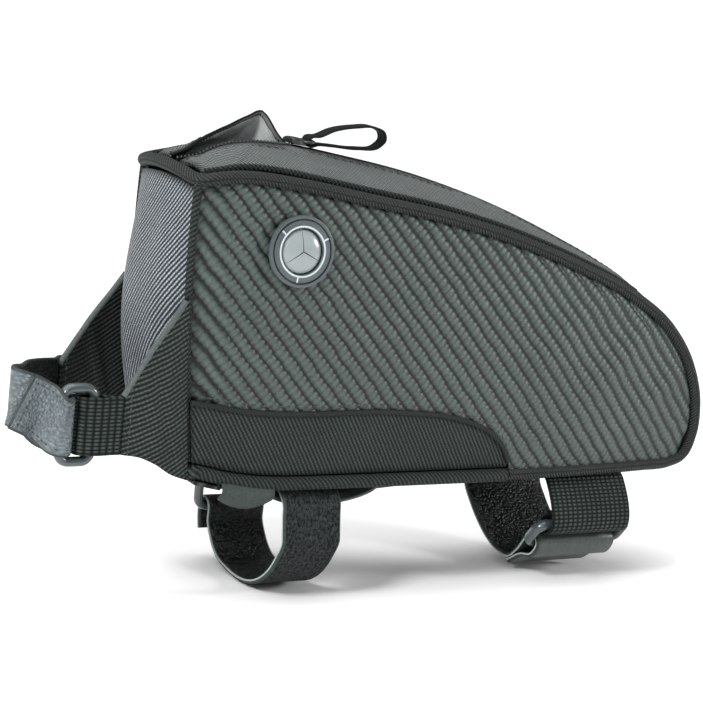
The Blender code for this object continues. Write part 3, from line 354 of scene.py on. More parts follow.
def loop_width(turn):
    """Half width along the outline: turn 0 at the front seam's top, 1 at the lower front corner."""
    nose, toe = outline.knots[NOSE_ROW], outline.knots[TOE_ROW]
    turn = np.asarray(turn, float)
    top = half_width(np.clip(turn / nose, 0, 1), np.ones_like(turn))
    bottom = half_width(np.clip((1 - turn) / (1 - toe), 0, 1), np.zeros_like(turn))
    part = np.clip((turn - nose) / (toe - nose), 0, 1)
    return top * (1 - part) + bottom * part


def edge_path(turns):
    """The far side's piping line."""
    line = outline(turns)
    return np.stack([line[:, 0], loop_width(turns), line[:, 1]], axis=-1)


def crown_line(way):
    """The lid's middle line, and the direction out of it."""
    step = 1e-3
    ahead = upper(np.clip(np.asarray(way) + step, 0, 1)) - upper(np.clip(np.asarray(way) - step, 0, 1))
    ahead /= np.linalg.norm(ahead, axis=-1, keepdims=True)
    outward = np.stack([-ahead[..., 1], ahead[..., 0]], axis=-1)
    rise = LID_RISE * crown(way)[..., 0]
    return upper(way) + outward * rise[..., None], outward


def lid_points(way, in_share, side):
    """Points on a half of the lid: in_share 0 at the piping, 1 at the zip's edge."""
    way, share = np.broadcast_arrays(np.asarray(way, float), np.asarray(in_share, float))
    edge = upper(way)
    half = half_width(way, np.ones_like(way))
    start = np.stack([edge[..., 0], side * half, edge[..., 1]], axis=-1)
    top, outward = crown_line(way)
    open_by = mouth(np.clip(way, 0, MOUTH[-1][0]))
    open_by = np.where((way < MOUTH[-1][0])[..., None], open_by, 0.0)
    if side > 0:
        spread = ZIP_SPLAY + OPEN_SPREAD * open_by[..., 0]
        lift = OPEN_LIFT * open_by[..., 1]
    else:
        spread = ZIP_SPLAY + NEAR_SPREAD * open_by[..., 2]
        lift = np.zeros_like(spread)
    end = np.stack([top[..., 0], side * spread, top[..., 1] + lift], axis=-1)
    belly = LID_BELLY * 4 * share * (1 - share)
    point = start + (end - start) * share[..., None]
    point[..., 0] += outward[..., 0] * belly
    point[..., 2] += outward[..., 1] * belly
    bow, _ = front_edge(point[..., 1] / half)
    fade = np.clip(1 - way / 0.10, 0, 1) ** 2
    point[..., 0] -= bow * fade
    return point


def lid_span(way, side):
    return np.linalg.norm(lid_points(way, 1.0, side) - lid_points(way, 0.0, side), axis=-1)


def base_under(x):
    line = lower(np.linspace(0, 1, 400))
    return np.interp(x, line[:, 0], line[:, 1])


def wing_front(side):
    reach = WING_REACH + (FAR_WING_EXTRA if side > 0 else 0.0)
    return float(side_points(0.0, 0.2, 1.0)[0]) - reach


def seam_at(height):
    """Place along and half width of the front seam at a height."""
    up = np.clip(np.asarray(height) / HEIGHT, 0, 1)
    spot = side_points(0.0, up, 1.0)
    return spot[..., 0], spot[..., 1]


# Making meshes


def unit(vectors):
    return vectors / np.linalg.norm(vectors, axis=-1, keepdims=True)


def grid_normals(grid):
    return unit(np.cross(np.gradient(grid, axis=0), np.gradient(grid, axis=1)))


def make_piece(name, vertices, faces, materials, weave=None, kinds=None, crease=0.8):
    """A finished mesh object. weave holds mm along the cloth, mm across it and mm from its nearest edge."""
    mesh = bpy.data.meshes.new(name)
    mesh.from_pydata(np.asarray(vertices).tolist(), [], [tuple(int(i) for i in face) for face in faces])
    for kind in materials:
        mesh.materials.append(kind)
    if kinds is not None:
        mesh.polygons.foreach_set("material_index", np.asarray(kinds, np.int32))
    if weave is not None:
        layer = mesh.attributes.new("weave", "FLOAT_VECTOR", "POINT")
        layer.data.foreach_set("vector", np.asarray(weave, np.float32).ravel())
    work = bmesh.new()
    work.from_mesh(mesh)
    bmesh.ops.recalc_face_normals(work, faces=work.faces)
    work.to_mesh(mesh)
    work.free()
    mesh.shade_smooth()
    mesh.set_sharp_from_angle(angle=crease)
    made = bpy.data.objects.new(name, mesh)
    bpy.context.scene.collection.objects.link(made)
    return made


def fit(piece, slot, *nodes):
    """Rides on the bag and stands for its nodes, whose solids it hides. The slot is not used."""
    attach(piece, "root")
    if nodes:
        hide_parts(*nodes)
    return piece


def round_edges(piece, by):
    bevel = piece.modifiers.new("turned_edge", "BEVEL")
    bevel.width = by
    bevel.segments = 2
    bevel.limit_method = "ANGLE"
    bevel.angle_limit = 0.9
    return piece


def cloth_measures(grid):
    """Millimetres along and across a sheet, and to its nearest edge."""
    along = np.linalg.norm(np.diff(grid, axis=0), axis=-1)
    across = np.linalg.norm(np.diff(grid, axis=1), axis=-1)
    along = np.concatenate([np.zeros((1, grid.shape[1])), np.cumsum(along, axis=0)]) / MM
    across = np.concatenate([np.zeros((grid.shape[0], 1)), np.cumsum(across, axis=1)], axis=1) / MM
    edge = np.minimum(np.minimum(along, along[-1:] - along), np.minimum(across, across[:, -1:] - across))
    return along, across, edge


def grid_faces(rows, columns):
    corner = (np.arange(rows - 1)[:, None] * columns + np.arange(columns - 1)[None, :]).ravel()
    return np.stack([corner, corner + 1, corner + columns + 1, corner + columns], axis=1)


def closed_faces(rows, columns):
    """Faces of a grid, of a second grid behind it, and of the rim between the two."""
    below = rows * columns
    face = grid_faces(rows, columns)
    rim = np.concatenate([
        np.arange(rows) * columns,
        (rows - 1) * columns + np.arange(1, columns),
        np.arange(rows - 2, -1, -1) * columns + columns - 1,
        np.arange(columns - 2, 0, -1),
    ])
    ahead = np.roll(rim, -1)
    return face, face[:, ::-1] + below, np.stack([rim, ahead, ahead + below, rim + below], axis=1)


def shell(name, outer, thickness, inward, materials, weave=None):
    """A closed sheet of cloth. The first material is its face and its turned rim, the last its back."""
    rows, columns = outer.shape[:2]
    inner = outer - grid_normals(outer) * thickness * inward
    along, across, edge = cloth_measures(outer)
    if weave is not None:
        along, across = weave
    cloth = np.stack([along, across, edge], axis=-1).reshape(-1, 3)
    face, back, side = closed_faces(rows, columns)
    faces = np.concatenate([face, back, side])
    vertices = np.concatenate([outer.reshape(-1, 3), inner.reshape(-1, 3)])
    kinds = np.zeros(len(faces), int)
    kinds[len(face):len(face) + len(back)] = len(materials) - 1
    piece = make_piece(name, vertices, faces, materials, np.concatenate([cloth, cloth]), kinds)
    cells = np.cross(outer[1:, :-1] - outer[:-1, :-1], outer[:-1, 1:] - outer[:-1, :-1])
    area = np.linalg.norm(cells, axis=-1)
    piece["flat_width"] = float(across_length(outer, 1))
    piece["flat_length"] = float(across_length(outer, 0))
    piece["flat_area"] = float(area.sum())
    return piece


def across_length(grid, axis):
    return np.linalg.norm(np.diff(grid, axis=axis), axis=-1).sum(axis=axis).max()


def settle(grid, push, slack, limit):
    """A cloth simulation of one sheet held along its whole rim. It moves each point by at most the limit."""
    rows, columns = grid.shape[:2]
    mesh = bpy.data.meshes.new("settling")
    mesh.from_pydata(grid.reshape(-1, 3).tolist(), [], grid_faces(rows, columns).tolist())
    cloth_object = bpy.data.objects.new("settling", mesh)
    bpy.context.scene.collection.objects.link(cloth_object)
    index = np.arange(rows * columns).reshape(rows, columns)
    rim = np.unique(np.concatenate([index[0], index[-1], index[:, 0], index[:, -1]]))
    held = cloth_object.vertex_groups.new(name="held")
    held.add(rim.tolist(), 1.0, "REPLACE")
    cloth = cloth_object.modifiers.new("cloth", "CLOTH")
    cloth.settings.vertex_group_mass = "held"
    cloth.settings.quality = 6
    cloth.settings.mass = 0.1
    cloth.settings.tension_stiffness = 25
    cloth.settings.compression_stiffness = 25
    cloth.settings.bending_stiffness = 0.3
    cloth.settings.shrink_min = -slack
    cloth.settings.use_pressure = True
    cloth.settings.uniform_pressure_force = push
    cloth.settings.effector_weights.gravity = 0.0
    for step in range(1, SETTLE_STEPS + 1):
        bpy.context.scene.frame_set(step)
    settled = cloth_object.evaluated_get(bpy.context.evaluated_depsgraph_get()).to_mesh()
    points = np.empty(rows * columns * 3)
    settled.vertices.foreach_get("co", points)
    bpy.data.objects.remove(cloth_object, do_unlink=True)
    bpy.context.scene.frame_set(1)
    move = points.reshape(grid.shape) - grid
    size = np.linalg.norm(move, axis=-1, keepdims=True)
    return grid + move * np.minimum(1.0, limit / np.maximum(size, 1e-9))


class Run:
    """A strap's route: points, the direction across it, the one that stands off it, and the length so far."""

    def __init__(self, path, across, closed=False):
        self.path = np.array(path, float)
        if closed:
            tangent = unit(np.roll(self.path, -1, axis=0) - np.roll(self.path, 1, axis=0))
        else:
            tangent = unit(np.gradient(self.path, axis=0))
        across = np.broadcast_to(np.array(across, float), self.path.shape)
        self.across = unit(across - tangent * np.sum(across * tangent, axis=1, keepdims=True))
        self.stand = np.cross(tangent, self.across)
        steps = np.linalg.norm(np.diff(self.path, axis=0), axis=1)
        self.arc = np.concatenate([[0.0], np.cumsum(steps)])

    def spot(self, along, aside, lift):
        """Points on the strap by length along it, distance aside and lift off it."""
        along = np.asarray(along, float)
        at = [
            np.stack([np.interp(along, self.arc, field[:, axis]) for axis in range(3)], axis=-1)
            for field in (self.path, self.across, self.stand)
        ]
        aside = np.broadcast_to(np.asarray(aside, float), along.shape)[..., None]
        return at[0] + at[1] * aside + at[2] * lift


def route_of(points, across, count):
    """The smooth route through points."""
    return Run(smooth_curve(points)(np.linspace(0, 1, count)), across)


def strap_section(width, thickness, spans=8):
    """A flat section with rounded edges, from its first side over the top and back underneath."""
    half, deep = width / 2, thickness / 2
    bend = deep * 0.9
    flat = np.linspace(-half + bend, half - bend, spans)
    turns = np.linspace(np.pi / 2, 0, 4)[1:-1]
    top = [(spot, deep) for spot in flat]
    right = [(half - bend + bend * np.cos(t), deep - bend + bend * np.sin(t)) for t in turns]
    right += [(half, deep - bend), (half, -deep + bend)]
    right += [(half - bend + bend * np.cos(t), -deep + bend - bend * np.sin(t)) for t in reversed(turns)]
    return top + right + [(-a, -b) for a, b in top + right]


def sweep(name, run, section, materials, closed=False, turned_from=None):
    """A strap along its run. The materials are its standing face, its other face and its edges.

    From turned_from on, where it lies folded back on itself, its two faces change places.
    """
    count, steps = len(section), len(run.path)
    spots = [run.path + run.across * a + run.stand * b for a, b in section]
    vertices = np.stack(spots, axis=1).reshape(-1, 3)
    half = max(a for a, _ in section)
    along = np.repeat(run.arc, count) / MM
    across = np.tile([a for a, _ in section], steps) / MM
    weave = np.stack([along, across, half / MM - np.abs(across)], axis=-1)
    faces, kinds = [], []
    for step in range(steps if closed else steps - 1):
        here, there = step * count, ((step + 1) % steps) * count
        for index in range(count):
            following = (index + 1) % count
            faces.append((here + index, here + following, there + following, there + index))
            middle = (section[index][1] + section[following][1]) / 2
            turned = abs(section[index][1] - section[following][1]) > 1e-9
            facing = (middle > 0) == (turned_from is None or step < turned_from)
            kinds.append(2 if turned else (0 if facing else 1))
    if not closed:
        faces.append(tuple(range(count)))
        faces.append(tuple((steps - 1) * count + index for index in reversed(range(count))))
        kinds += [2, 2]
    while len(materials) < 3:
        materials = tuple(materials) + (materials[-1],)
    return make_piece(name, vertices, faces, materials, weave, kinds, crease=0.9)


def revolve(name, profile, place, materials, segments=64):
    """A profile of (radius, height) turned about the place's Z axis, closed where it meets the axis."""
    turns = np.linspace(0, 2 * np.pi, segments, endpoint=False)
    vertices, index = [], []
    for spin, turn in enumerate(turns):
        row = []
        for radius, height in profile:
            if radius <= 0 and spin > 0:
                row.append(index[0][len(row)])
                continue
            row.append(len(vertices))
            spot = Vector((radius * np.cos(turn), radius * np.sin(turn), height))
            vertices.append(place @ spot)
        index.append(row)
    closed = profile[0][0] > 0
    faces = []
    for spin in range(segments):
        here, there = index[spin], index[(spin + 1) % segments]
        for row in range(len(profile) if closed else len(profile) - 1):
            following = (row + 1) % len(profile)
            corners = [here[row], there[row], there[following], here[following]]
            kept = [c for i, c in enumerate(corners) if c not in corners[:i]]
            if len(kept) > 2:
                faces.append(kept)
    return make_piece(name, [tuple(v) for v in vertices], faces, materials, crease=0.6)


def cut_out(piece, cutters):
    """Takes the cutters out of the piece, and removes them."""
    for cutter in cutters:
        cut = piece.modifiers.new(cutter.name, "BOOLEAN")
        cut.operation, cut.solver, cut.object = "DIFFERENCE", "EXACT", cutter
    graph = bpy.context.evaluated_depsgraph_get()
    piece.data = bpy.data.meshes.new_from_object(piece.evaluated_get(graph))
    piece.modifiers.clear()
    for cutter in cutters:
        bpy.data.objects.remove(cutter, do_unlink=True)


# Geometry Nodes


def add(tree, kind, links=(), **settings):
    """Adds a node with its settings and links, and gives its first output."""
    made = tree.nodes.new(kind)
    for name, value in settings.items():
        setattr(made, name, value)
    for name, value in dict(links).items():
        if isinstance(value, bpy.types.NodeSocket):
            tree.links.new(value, made.inputs[name])
        else:
            made.inputs[name].default_value = value
    return made.outputs[0] if made.outputs else None


def new_tree(name, inputs):
    """A Geometry Nodes tree with named inputs. It gives the tree and its input and output nodes."""
    tree = bpy.data.node_groups.new(name, "GeometryNodeTree")
    tree.interface.new_socket(name="Geometry", in_out="INPUT", socket_type="NodeSocketGeometry")
    tree.interface.new_socket(name="Geometry", in_out="OUTPUT", socket_type="NodeSocketGeometry")
    for label, kind in inputs:
        tree.interface.new_socket(name=label, in_out="INPUT", socket_type=kind)
    given = tree.nodes.new("NodeGroupInput")
    taken = tree.nodes.new("NodeGroupOutput")
    return tree, given.outputs, taken.inputs


def bead_tree():
    """Puts one small rounded shape at each step of a line: a stitch, or a turn of a zip's coil."""
    tree, given, taken = new_tree("beads_in_a_row", (
        ("Pitch", "NodeSocketFloat"), ("Along", "NodeSocketFloat"), ("Across", "NodeSocketFloat"),
        ("Material", "NodeSocketMaterial"),
    ))
    line = add(tree, "GeometryNodeMeshToCurve", {"Mesh": given["Geometry"]})
    steps = add(tree, "GeometryNodeResampleCurve", {"Curve": line, "Length": given["Pitch"]}, mode="LENGTH")
    bead = add(tree, "GeometryNodeMeshUVSphere", {"Segments": 7, "Rings": 5, "Radius": 0.5})
    ahead = add(tree, "GeometryNodeInputTangent")
    turned = add(tree, "FunctionNodeAlignRotationToVector", {"Vector": ahead}, axis="X")
    across = given["Across"]
    size = add(tree, "ShaderNodeCombineXYZ", {"X": given["Along"], "Y": across, "Z": across})
    placed = add(tree, "GeometryNodeInstanceOnPoints", {
        "Points": steps, "Instance": bead, "Rotation": turned, "Scale": size,
    })
    real = add(tree, "GeometryNodeRealizeInstances", {"Geometry": placed})
    painted = add(tree, "GeometryNodeSetMaterial", {"Geometry": real, "Material": given["Material"]})
    tree.links.new(painted, taken["Geometry"])
    return tree


def cord_tree():
    """Covers a line with a round cord and writes the cloth's own measures on it."""
    tree, given, taken = new_tree("covered_cord", (
        ("Radius", "NodeSocketFloat"), ("Material", "NodeSocketMaterial"),
    ))
    line = add(tree, "GeometryNodeMeshToCurve", {"Mesh": given["Geometry"]})
    length = add(tree, "GeometryNodeSplineParameter").node.outputs["Length"]
    kept = tree.nodes.new("GeometryNodeCaptureAttribute")
    kept.capture_items.new("FLOAT", "along")
    tree.links.new(line, kept.inputs["Geometry"])
    tree.links.new(length, kept.inputs["along"])
    ring = {"Resolution": 20, "Radius": given["Radius"]}
    round_line = add(tree, "GeometryNodeCurvePrimitiveCircle", ring)
    turn = add(tree, "GeometryNodeSplineParameter").node.outputs["Length"]
    kept_round = tree.nodes.new("GeometryNodeCaptureAttribute")
    kept_round.capture_items.new("FLOAT", "round")
    tree.links.new(round_line, kept_round.inputs["Geometry"])
    tree.links.new(turn, kept_round.inputs["round"])
    skin = add(tree, "GeometryNodeCurveToMesh", {
        "Curve": kept.outputs["Geometry"], "Profile Curve": kept_round.outputs["Geometry"], "Fill Caps": True,
    })
    along = add(tree, "ShaderNodeMath", {0: kept.outputs["along"], 1: 1 / MM}, operation="MULTIPLY")
    turn = kept_round.outputs["round"]
    around = add(tree, "ShaderNodeMath", {0: turn, 1: 1 / MM}, operation="MULTIPLY")
    measures = add(tree, "ShaderNodeCombineXYZ", {"X": along, "Y": around, "Z": 5.0})
    marked = add(tree, "GeometryNodeStoreNamedAttribute", {
        "Geometry": skin, "Name": "weave", "Value": measures,
    }, data_type="FLOAT_VECTOR", domain="POINT")
    smooth = add(tree, "GeometryNodeSetShadeSmooth", {"Geometry": marked})
    kind = given["Material"]
    painted = add(tree, "GeometryNodeSetMaterial", {"Geometry": smooth, "Material": kind})
    tree.links.new(painted, taken["Geometry"])
    return tree


def along_lines(name, tree, lines, **values):
    """Runs a tree over open lines of points and keeps the result as a plain mesh."""
    mesh = bpy.data.meshes.new(name)
    vertices, edges = [], []
    for line in lines:
        first = len(vertices)
        vertices += [tuple(point) for point in line]
        edges += [(first + step, first + step + 1) for step in range(len(line) - 1)]
    mesh.from_pydata(vertices, edges, [])
    made = bpy.data.objects.new(name, mesh)
    bpy.context.scene.collection.objects.link(made)
    step = made.modifiers.new("form", "NODES")
    known = {"beads_in_a_row": bead_tree, "covered_cord": cord_tree}
    step.node_group = bpy.data.node_groups.get(tree) or known[tree]()
    for item in step.node_group.interface.items_tree:
        if item.in_out == "INPUT" and item.name in values:
            step[item.identifier] = values[item.name]
    made.update_tag()
    graph = bpy.context.evaluated_depsgraph_get()
    result = bpy.data.meshes.new_from_object(made.evaluated_get(graph))
    made.modifiers.clear()
    made.data = result
    result.shade_smooth()
    return made


# Materials


def linear(code):
    """A colour from its sRGB hex value."""
    parts = [int(code[i:i + 2], 16) / 255 for i in (1, 3, 5)]
    return tuple(p / 12.92 if p <= 0.04045 else ((p + 0.055) / 1.055) ** 2.4 for p in parts)


def new_material(name, roughness, **settings):
    """A material with its shader, and the sheet's own measures where it is cloth."""
    made = bpy.data.materials.new(name)
    made.use_nodes = True
    tree = made.node_tree
    shader = tree.nodes["Principled BSDF"]
    shader.inputs["Roughness"].default_value = roughness
    for label, value in settings.items():
        shader.inputs[label.replace("_", " ")].default_value = value
    cloth = add(tree, "ShaderNodeAttribute", attribute_name="weave").node.outputs["Vector"]
    return made, tree, shader, cloth


WAVE = 2 * np.pi / 20  # a wave texture at scale 1 repeats after this length


def finish_cloth(tree, shader, cloth, height, low, high, depth, wear=0.10, shade=0.55):
    """Colour from low to high threads, the sunk threads' low colour partly painted shade in the hollows,
    uneven from thread to thread, worn in patches, with painted shade near the seams and edges.
    """
    wide = {"Vector": cloth, "Scale": 0.045, "Detail": 3.0, "Roughness": 0.6}
    patches = add(tree, "ShaderNodeTexNoise", wide)
    slubs = add(tree, "ShaderNodeTexNoise", {**wide, "Scale": 0.9, "Detail": 2.0})
    # Partly painted shade: the low colour of the sunk threads stands in part for the shade in the hollows,
    # which the bump cannot cast
    ends = {"Factor": height, "A": (*low, 1), "B": (*high, 1)}
    thread = add(tree, "ShaderNodeMix", ends, data_type="RGBA").node.outputs[2]
    lit = add(tree, "ShaderNodeMapRange", {
        "Value": patches, "From Min": 0.3, "From Max": 0.7, "To Min": 1 - wear, "To Max": 1 + wear,
    })
    uneven = add(tree, "ShaderNodeMapRange", {
        "Value": slubs, "From Min": 0.3, "From Max": 0.7, "To Min": 1 - 1.6 * wear, "To Max": 1 + 1.6 * wear,
    })
    # Painted shade: within 2.6 mm of a seam or edge the colour falls to the shade share, standing for the
    # shade that falls there
    edge = add(tree, "ShaderNodeSeparateXYZ", {"Vector": cloth}).node.outputs["Z"]
    seam = add(tree, "ShaderNodeMapRange", {
        "Value": edge, "From Min": 0.0, "From Max": 2.6, "To Min": shade, "To Max": 1.0,
    }, interpolation_type="SMOOTHSTEP")
    both = add(tree, "ShaderNodeMath", {0: lit, 1: seam}, operation="MULTIPLY")
    both = add(tree, "ShaderNodeMath", {0: both, 1: uneven}, operation="MULTIPLY")
    grey = add(tree, "ShaderNodeCombineXYZ", {"X": both, "Y": both, "Z": both})
    colour = add(tree, "ShaderNodeMix", {"Factor": 1.0}, data_type="RGBA", blend_type="MULTIPLY").node
    tree.links.new(thread, colour.inputs[6])
    tree.links.new(grey, colour.inputs[7])
    tree.links.new(colour.outputs[2], shader.inputs["Base Color"])
    relief = add(tree, "ShaderNodeBump", {"Strength": 1.0, "Distance": depth, "Height": height})
    tree.links.new(relief, shader.inputs["Normal"])


def twill(
    name, low, high, spacing, angle, depth,
    roughness=0.6, sheen=0.01, wear=0.10, shade=0.55, ridge=1.5,
):
    """Woven polyester twill: raised diagonal lines of thread with dark ground between them.

    Each line is broken up by the threads that cross it. It gives the eye fine slanting stripes.
    """
    made, tree, shader, cloth = new_material(
        name, roughness, Sheen_Weight=sheen, Sheen_Roughness=0.5, Specular_IOR_Level=0.18,
    )
    turned = add(tree, "ShaderNodeVectorRotate", {"Vector": cloth, "Angle": angle}, rotation_type="Z_AXIS")
    lines = add(tree, "ShaderNodeTexWave", {
        "Vector": turned, "Scale": WAVE / spacing, "Distortion": 0.8, "Detail": 1.0, "Detail Scale": 1.5,
    }, bands_direction="X").node.outputs["Fac"]
    lines = add(tree, "ShaderNodeMath", {0: lines, 1: ridge}, operation="POWER")
    threads = add(tree, "ShaderNodeTexWave", {
        "Vector": turned, "Scale": WAVE / (spacing * 0.8), "Distortion": 1.5, "Detail Scale": 2.0,
    }, bands_direction="Y").node.outputs["Fac"]
    fine = add(tree, "ShaderNodeMapRange", {"Value": threads, "To Min": 0.55, "To Max": 1.0})
    height = add(tree, "ShaderNodeMath", {0: lines, 1: fine}, operation="MULTIPLY")
    finish_cloth(tree, shader, cloth, height, low, high, depth, wear, shade)
    return made


def carbon_cloth(colours):
    """PVC coated cloth embossed on rollers like a carbon weave, which gives the eye satin beaded ropes.

    Ropes of domed beads 2.4 mm apart run down towards the nose, 4.5 mm from rope to rope, with dark ragged
    valleys between them; the valleys' near-black colour is painted shade, as the bump casts none.
    """
    made, tree, shader, cloth = new_material("embossed_coated_cloth", 0.46, Specular_IOR_Level=0.36)
    noise = add(tree, "ShaderNodeTexNoise", {"Vector": cloth, "Scale": 0.12, "Detail": 1.0})
    drift = noise.node.outputs["Color"]
    drift = add(tree, "ShaderNodeVectorMath", {0: drift, 1: (0.5, 0.5, 0.5)}, operation="SUBTRACT")
    drift = add(tree, "ShaderNodeVectorMath", {0: drift, 1: (1.4, 1.4, 0.0)}, operation="MULTIPLY")
    place = add(tree, "ShaderNodeVectorMath", {0: cloth, 1: drift}, operation="ADD")
    known = {}
    for name, step in (("rope", (0.165, 0.147, 0.0)), ("bead", (0.290, -0.306, 0.0))):
        share = add(tree, "ShaderNodeVectorMath", {0: place, 1: step}, operation="DOT_PRODUCT")
        known[name] = share.node.outputs["Value"]
    for name, operation, *values in (
        ("rope", "FRACT", "rope"), ("rope", "SUBTRACT", "rope", 0.5), ("rope", "MULTIPLY", "rope", "rope"),
        ("bead", "FRACT", "bead"), ("bead", "SUBTRACT", "bead", 0.5), ("bead", "MULTIPLY", "bead", "bead"),
        ("across", "MULTIPLY", "rope", 4.5), ("along", "MULTIPLY", "bead", 1.2),
        ("dome", "SUBTRACT", 1.0, "across"), ("dome", "SUBTRACT", "dome", "along"),
        ("dome", "MAXIMUM", "dome", 0.0), ("dome", "POWER", "dome", 0.9),
    ):
        links = {socket: known.get(value, value) for socket, value in enumerate(values)}
        known[name] = add(tree, "ShaderNodeMath", links, operation=operation)
    finish_cloth(
        tree, shader, cloth, known["dome"], colours.carbon_valley_shade, colours.carbon_light,
        depth=0.7 * MM, wear=0.12, shade=0.3,
    )
    return made


def pebbled(name, low, high, grain, depth, roughness):
    """Cloth coated on rollers with a leathery pebbled face, which catches the light in small spots; its pits'
    darker colour is partly painted shade.
    """
    made, tree, shader, cloth = new_material(name, roughness, Specular_IOR_Level=0.4)
    flat = add(tree, "ShaderNodeVectorMath", {0: cloth, 1: (1.0, 1.0, 0.0)}, operation="MULTIPLY")
    spread = {"Vector": flat, "Scale": 1 / grain, "Randomness": 0.85}
    cells = add(tree, "ShaderNodeTexVoronoi", spread, feature="F1")
    dome = add(tree, "ShaderNodeMapRange", {
        "Value": cells, "From Min": 0.15, "From Max": 0.7, "To Min": 1.0, "To Max": 0.0,
    })
    fine = add(tree, "ShaderNodeTexNoise", {"Vector": flat, "Scale": 2.2 / grain, "Detail": 2.0})
    height = add(tree, "ShaderNodeMath", {0: dome, 1: fine}, operation="MULTIPLY")
    height = add(tree, "ShaderNodeMath", {0: height, 1: 1.6}, operation="MULTIPLY", use_clamp=True)
    finish_cloth(tree, shader, cloth, height, low, high, depth, 0.12, 0.7)
    return made


def woven_band(name, low, high, rib, pick, depth, roughness=0.6, shade=0.6):
    """Nylon webbing: rows of rounded floats, rib by rib across it and pick by pick along it."""
    made, tree, shader, cloth = new_material(name, roughness, Specular_IOR_Level=0.1)
    parts = add(tree, "ShaderNodeSeparateXYZ", {"Vector": cloth}).node.outputs
    floats = []
    for part, pitch in (("Y", rib), ("X", pick)):
        turn = add(tree, "ShaderNodeMath", {0: parts[part], 1: np.pi / pitch}, operation="MULTIPLY")
        bump = add(tree, "ShaderNodeMath", {0: turn}, operation="SINE")
        bump = add(tree, "ShaderNodeMath", {0: bump}, operation="ABSOLUTE")
        floats.append(add(tree, "ShaderNodeMath", {0: bump, 1: 1.4}, operation="POWER"))
    height = add(tree, "ShaderNodeMath", {0: floats[0], 1: floats[1]}, operation="MULTIPLY")
    finish_cloth(tree, shader, cloth, height, low, high, depth, 0.12, shade)
    return made


def loop_pile(low, high):
    """The soft half of a touch fastener: a brushed pile of fine loops, matt with a pale bloom."""
    made, tree, shader, cloth = new_material(
        "brushed_loop_pile", 0.95, Sheen_Weight=0.06, Sheen_Roughness=0.4, Specular_IOR_Level=0.1,
    )
    tufts = add(tree, "ShaderNodeTexNoise", {
        "Vector": cloth, "Scale": 0.8, "Detail": 4.0, "Roughness": 0.7,
    })
    height = add(tree, "ShaderNodeMapRange", {"Value": tufts, "From Min": 0.42, "From Max": 0.66})
    finish_cloth(tree, shader, cloth, height, low, high, 0.9 * MM, 0.15, 0.8)
    return made


def moulded(name, colour, roughness, grain=900.0, depth=0.02, **settings):
    """Injection moulded plastic or rubber: one colour, faintly clouded, with a fine spark-eroded grain."""
    made, tree, shader, _ = new_material(name, roughness, **settings)
    place = add(tree, "ShaderNodeTexCoord").node.outputs["Object"]
    cloud = add(tree, "ShaderNodeTexNoise", {"Vector": place, "Scale": 60.0, "Detail": 2.0})
    low, high = shade_of(colour, 0.86), [min(1, part) for part in shade_of(colour, 1.14)]
    ends = {"Factor": cloud, "A": (*low, 1), "B": (*high, 1)}
    tone = add(tree, "ShaderNodeMix", ends, data_type="RGBA").node.outputs[2]
    tree.links.new(tone, shader.inputs["Base Color"])
    speck = add(tree, "ShaderNodeTexNoise", {"Vector": place, "Scale": grain, "Detail": 2.0})
    relief = add(tree, "ShaderNodeBump", {"Strength": 1.0, "Distance": depth * MM, "Height": speck})
    tree.links.new(relief, shader.inputs["Normal"])
    worn = add(tree, "ShaderNodeMapRange", {
        "Value": cloud, "To Min": roughness * 0.85, "To Max": min(1, roughness * 1.15),
    })
    tree.links.new(worn, shader.inputs["Roughness"])
    return made


def finish(name):
    """The material of that name, made with the rest at its first use."""
    if "embossed_coated_cloth" not in bpy.data.materials:
        make_materials(bpy.context.scene.bag_colours)
    return bpy.data.materials[name]


def shade_of(colour, share):
    return tuple(part * share for part in colour)


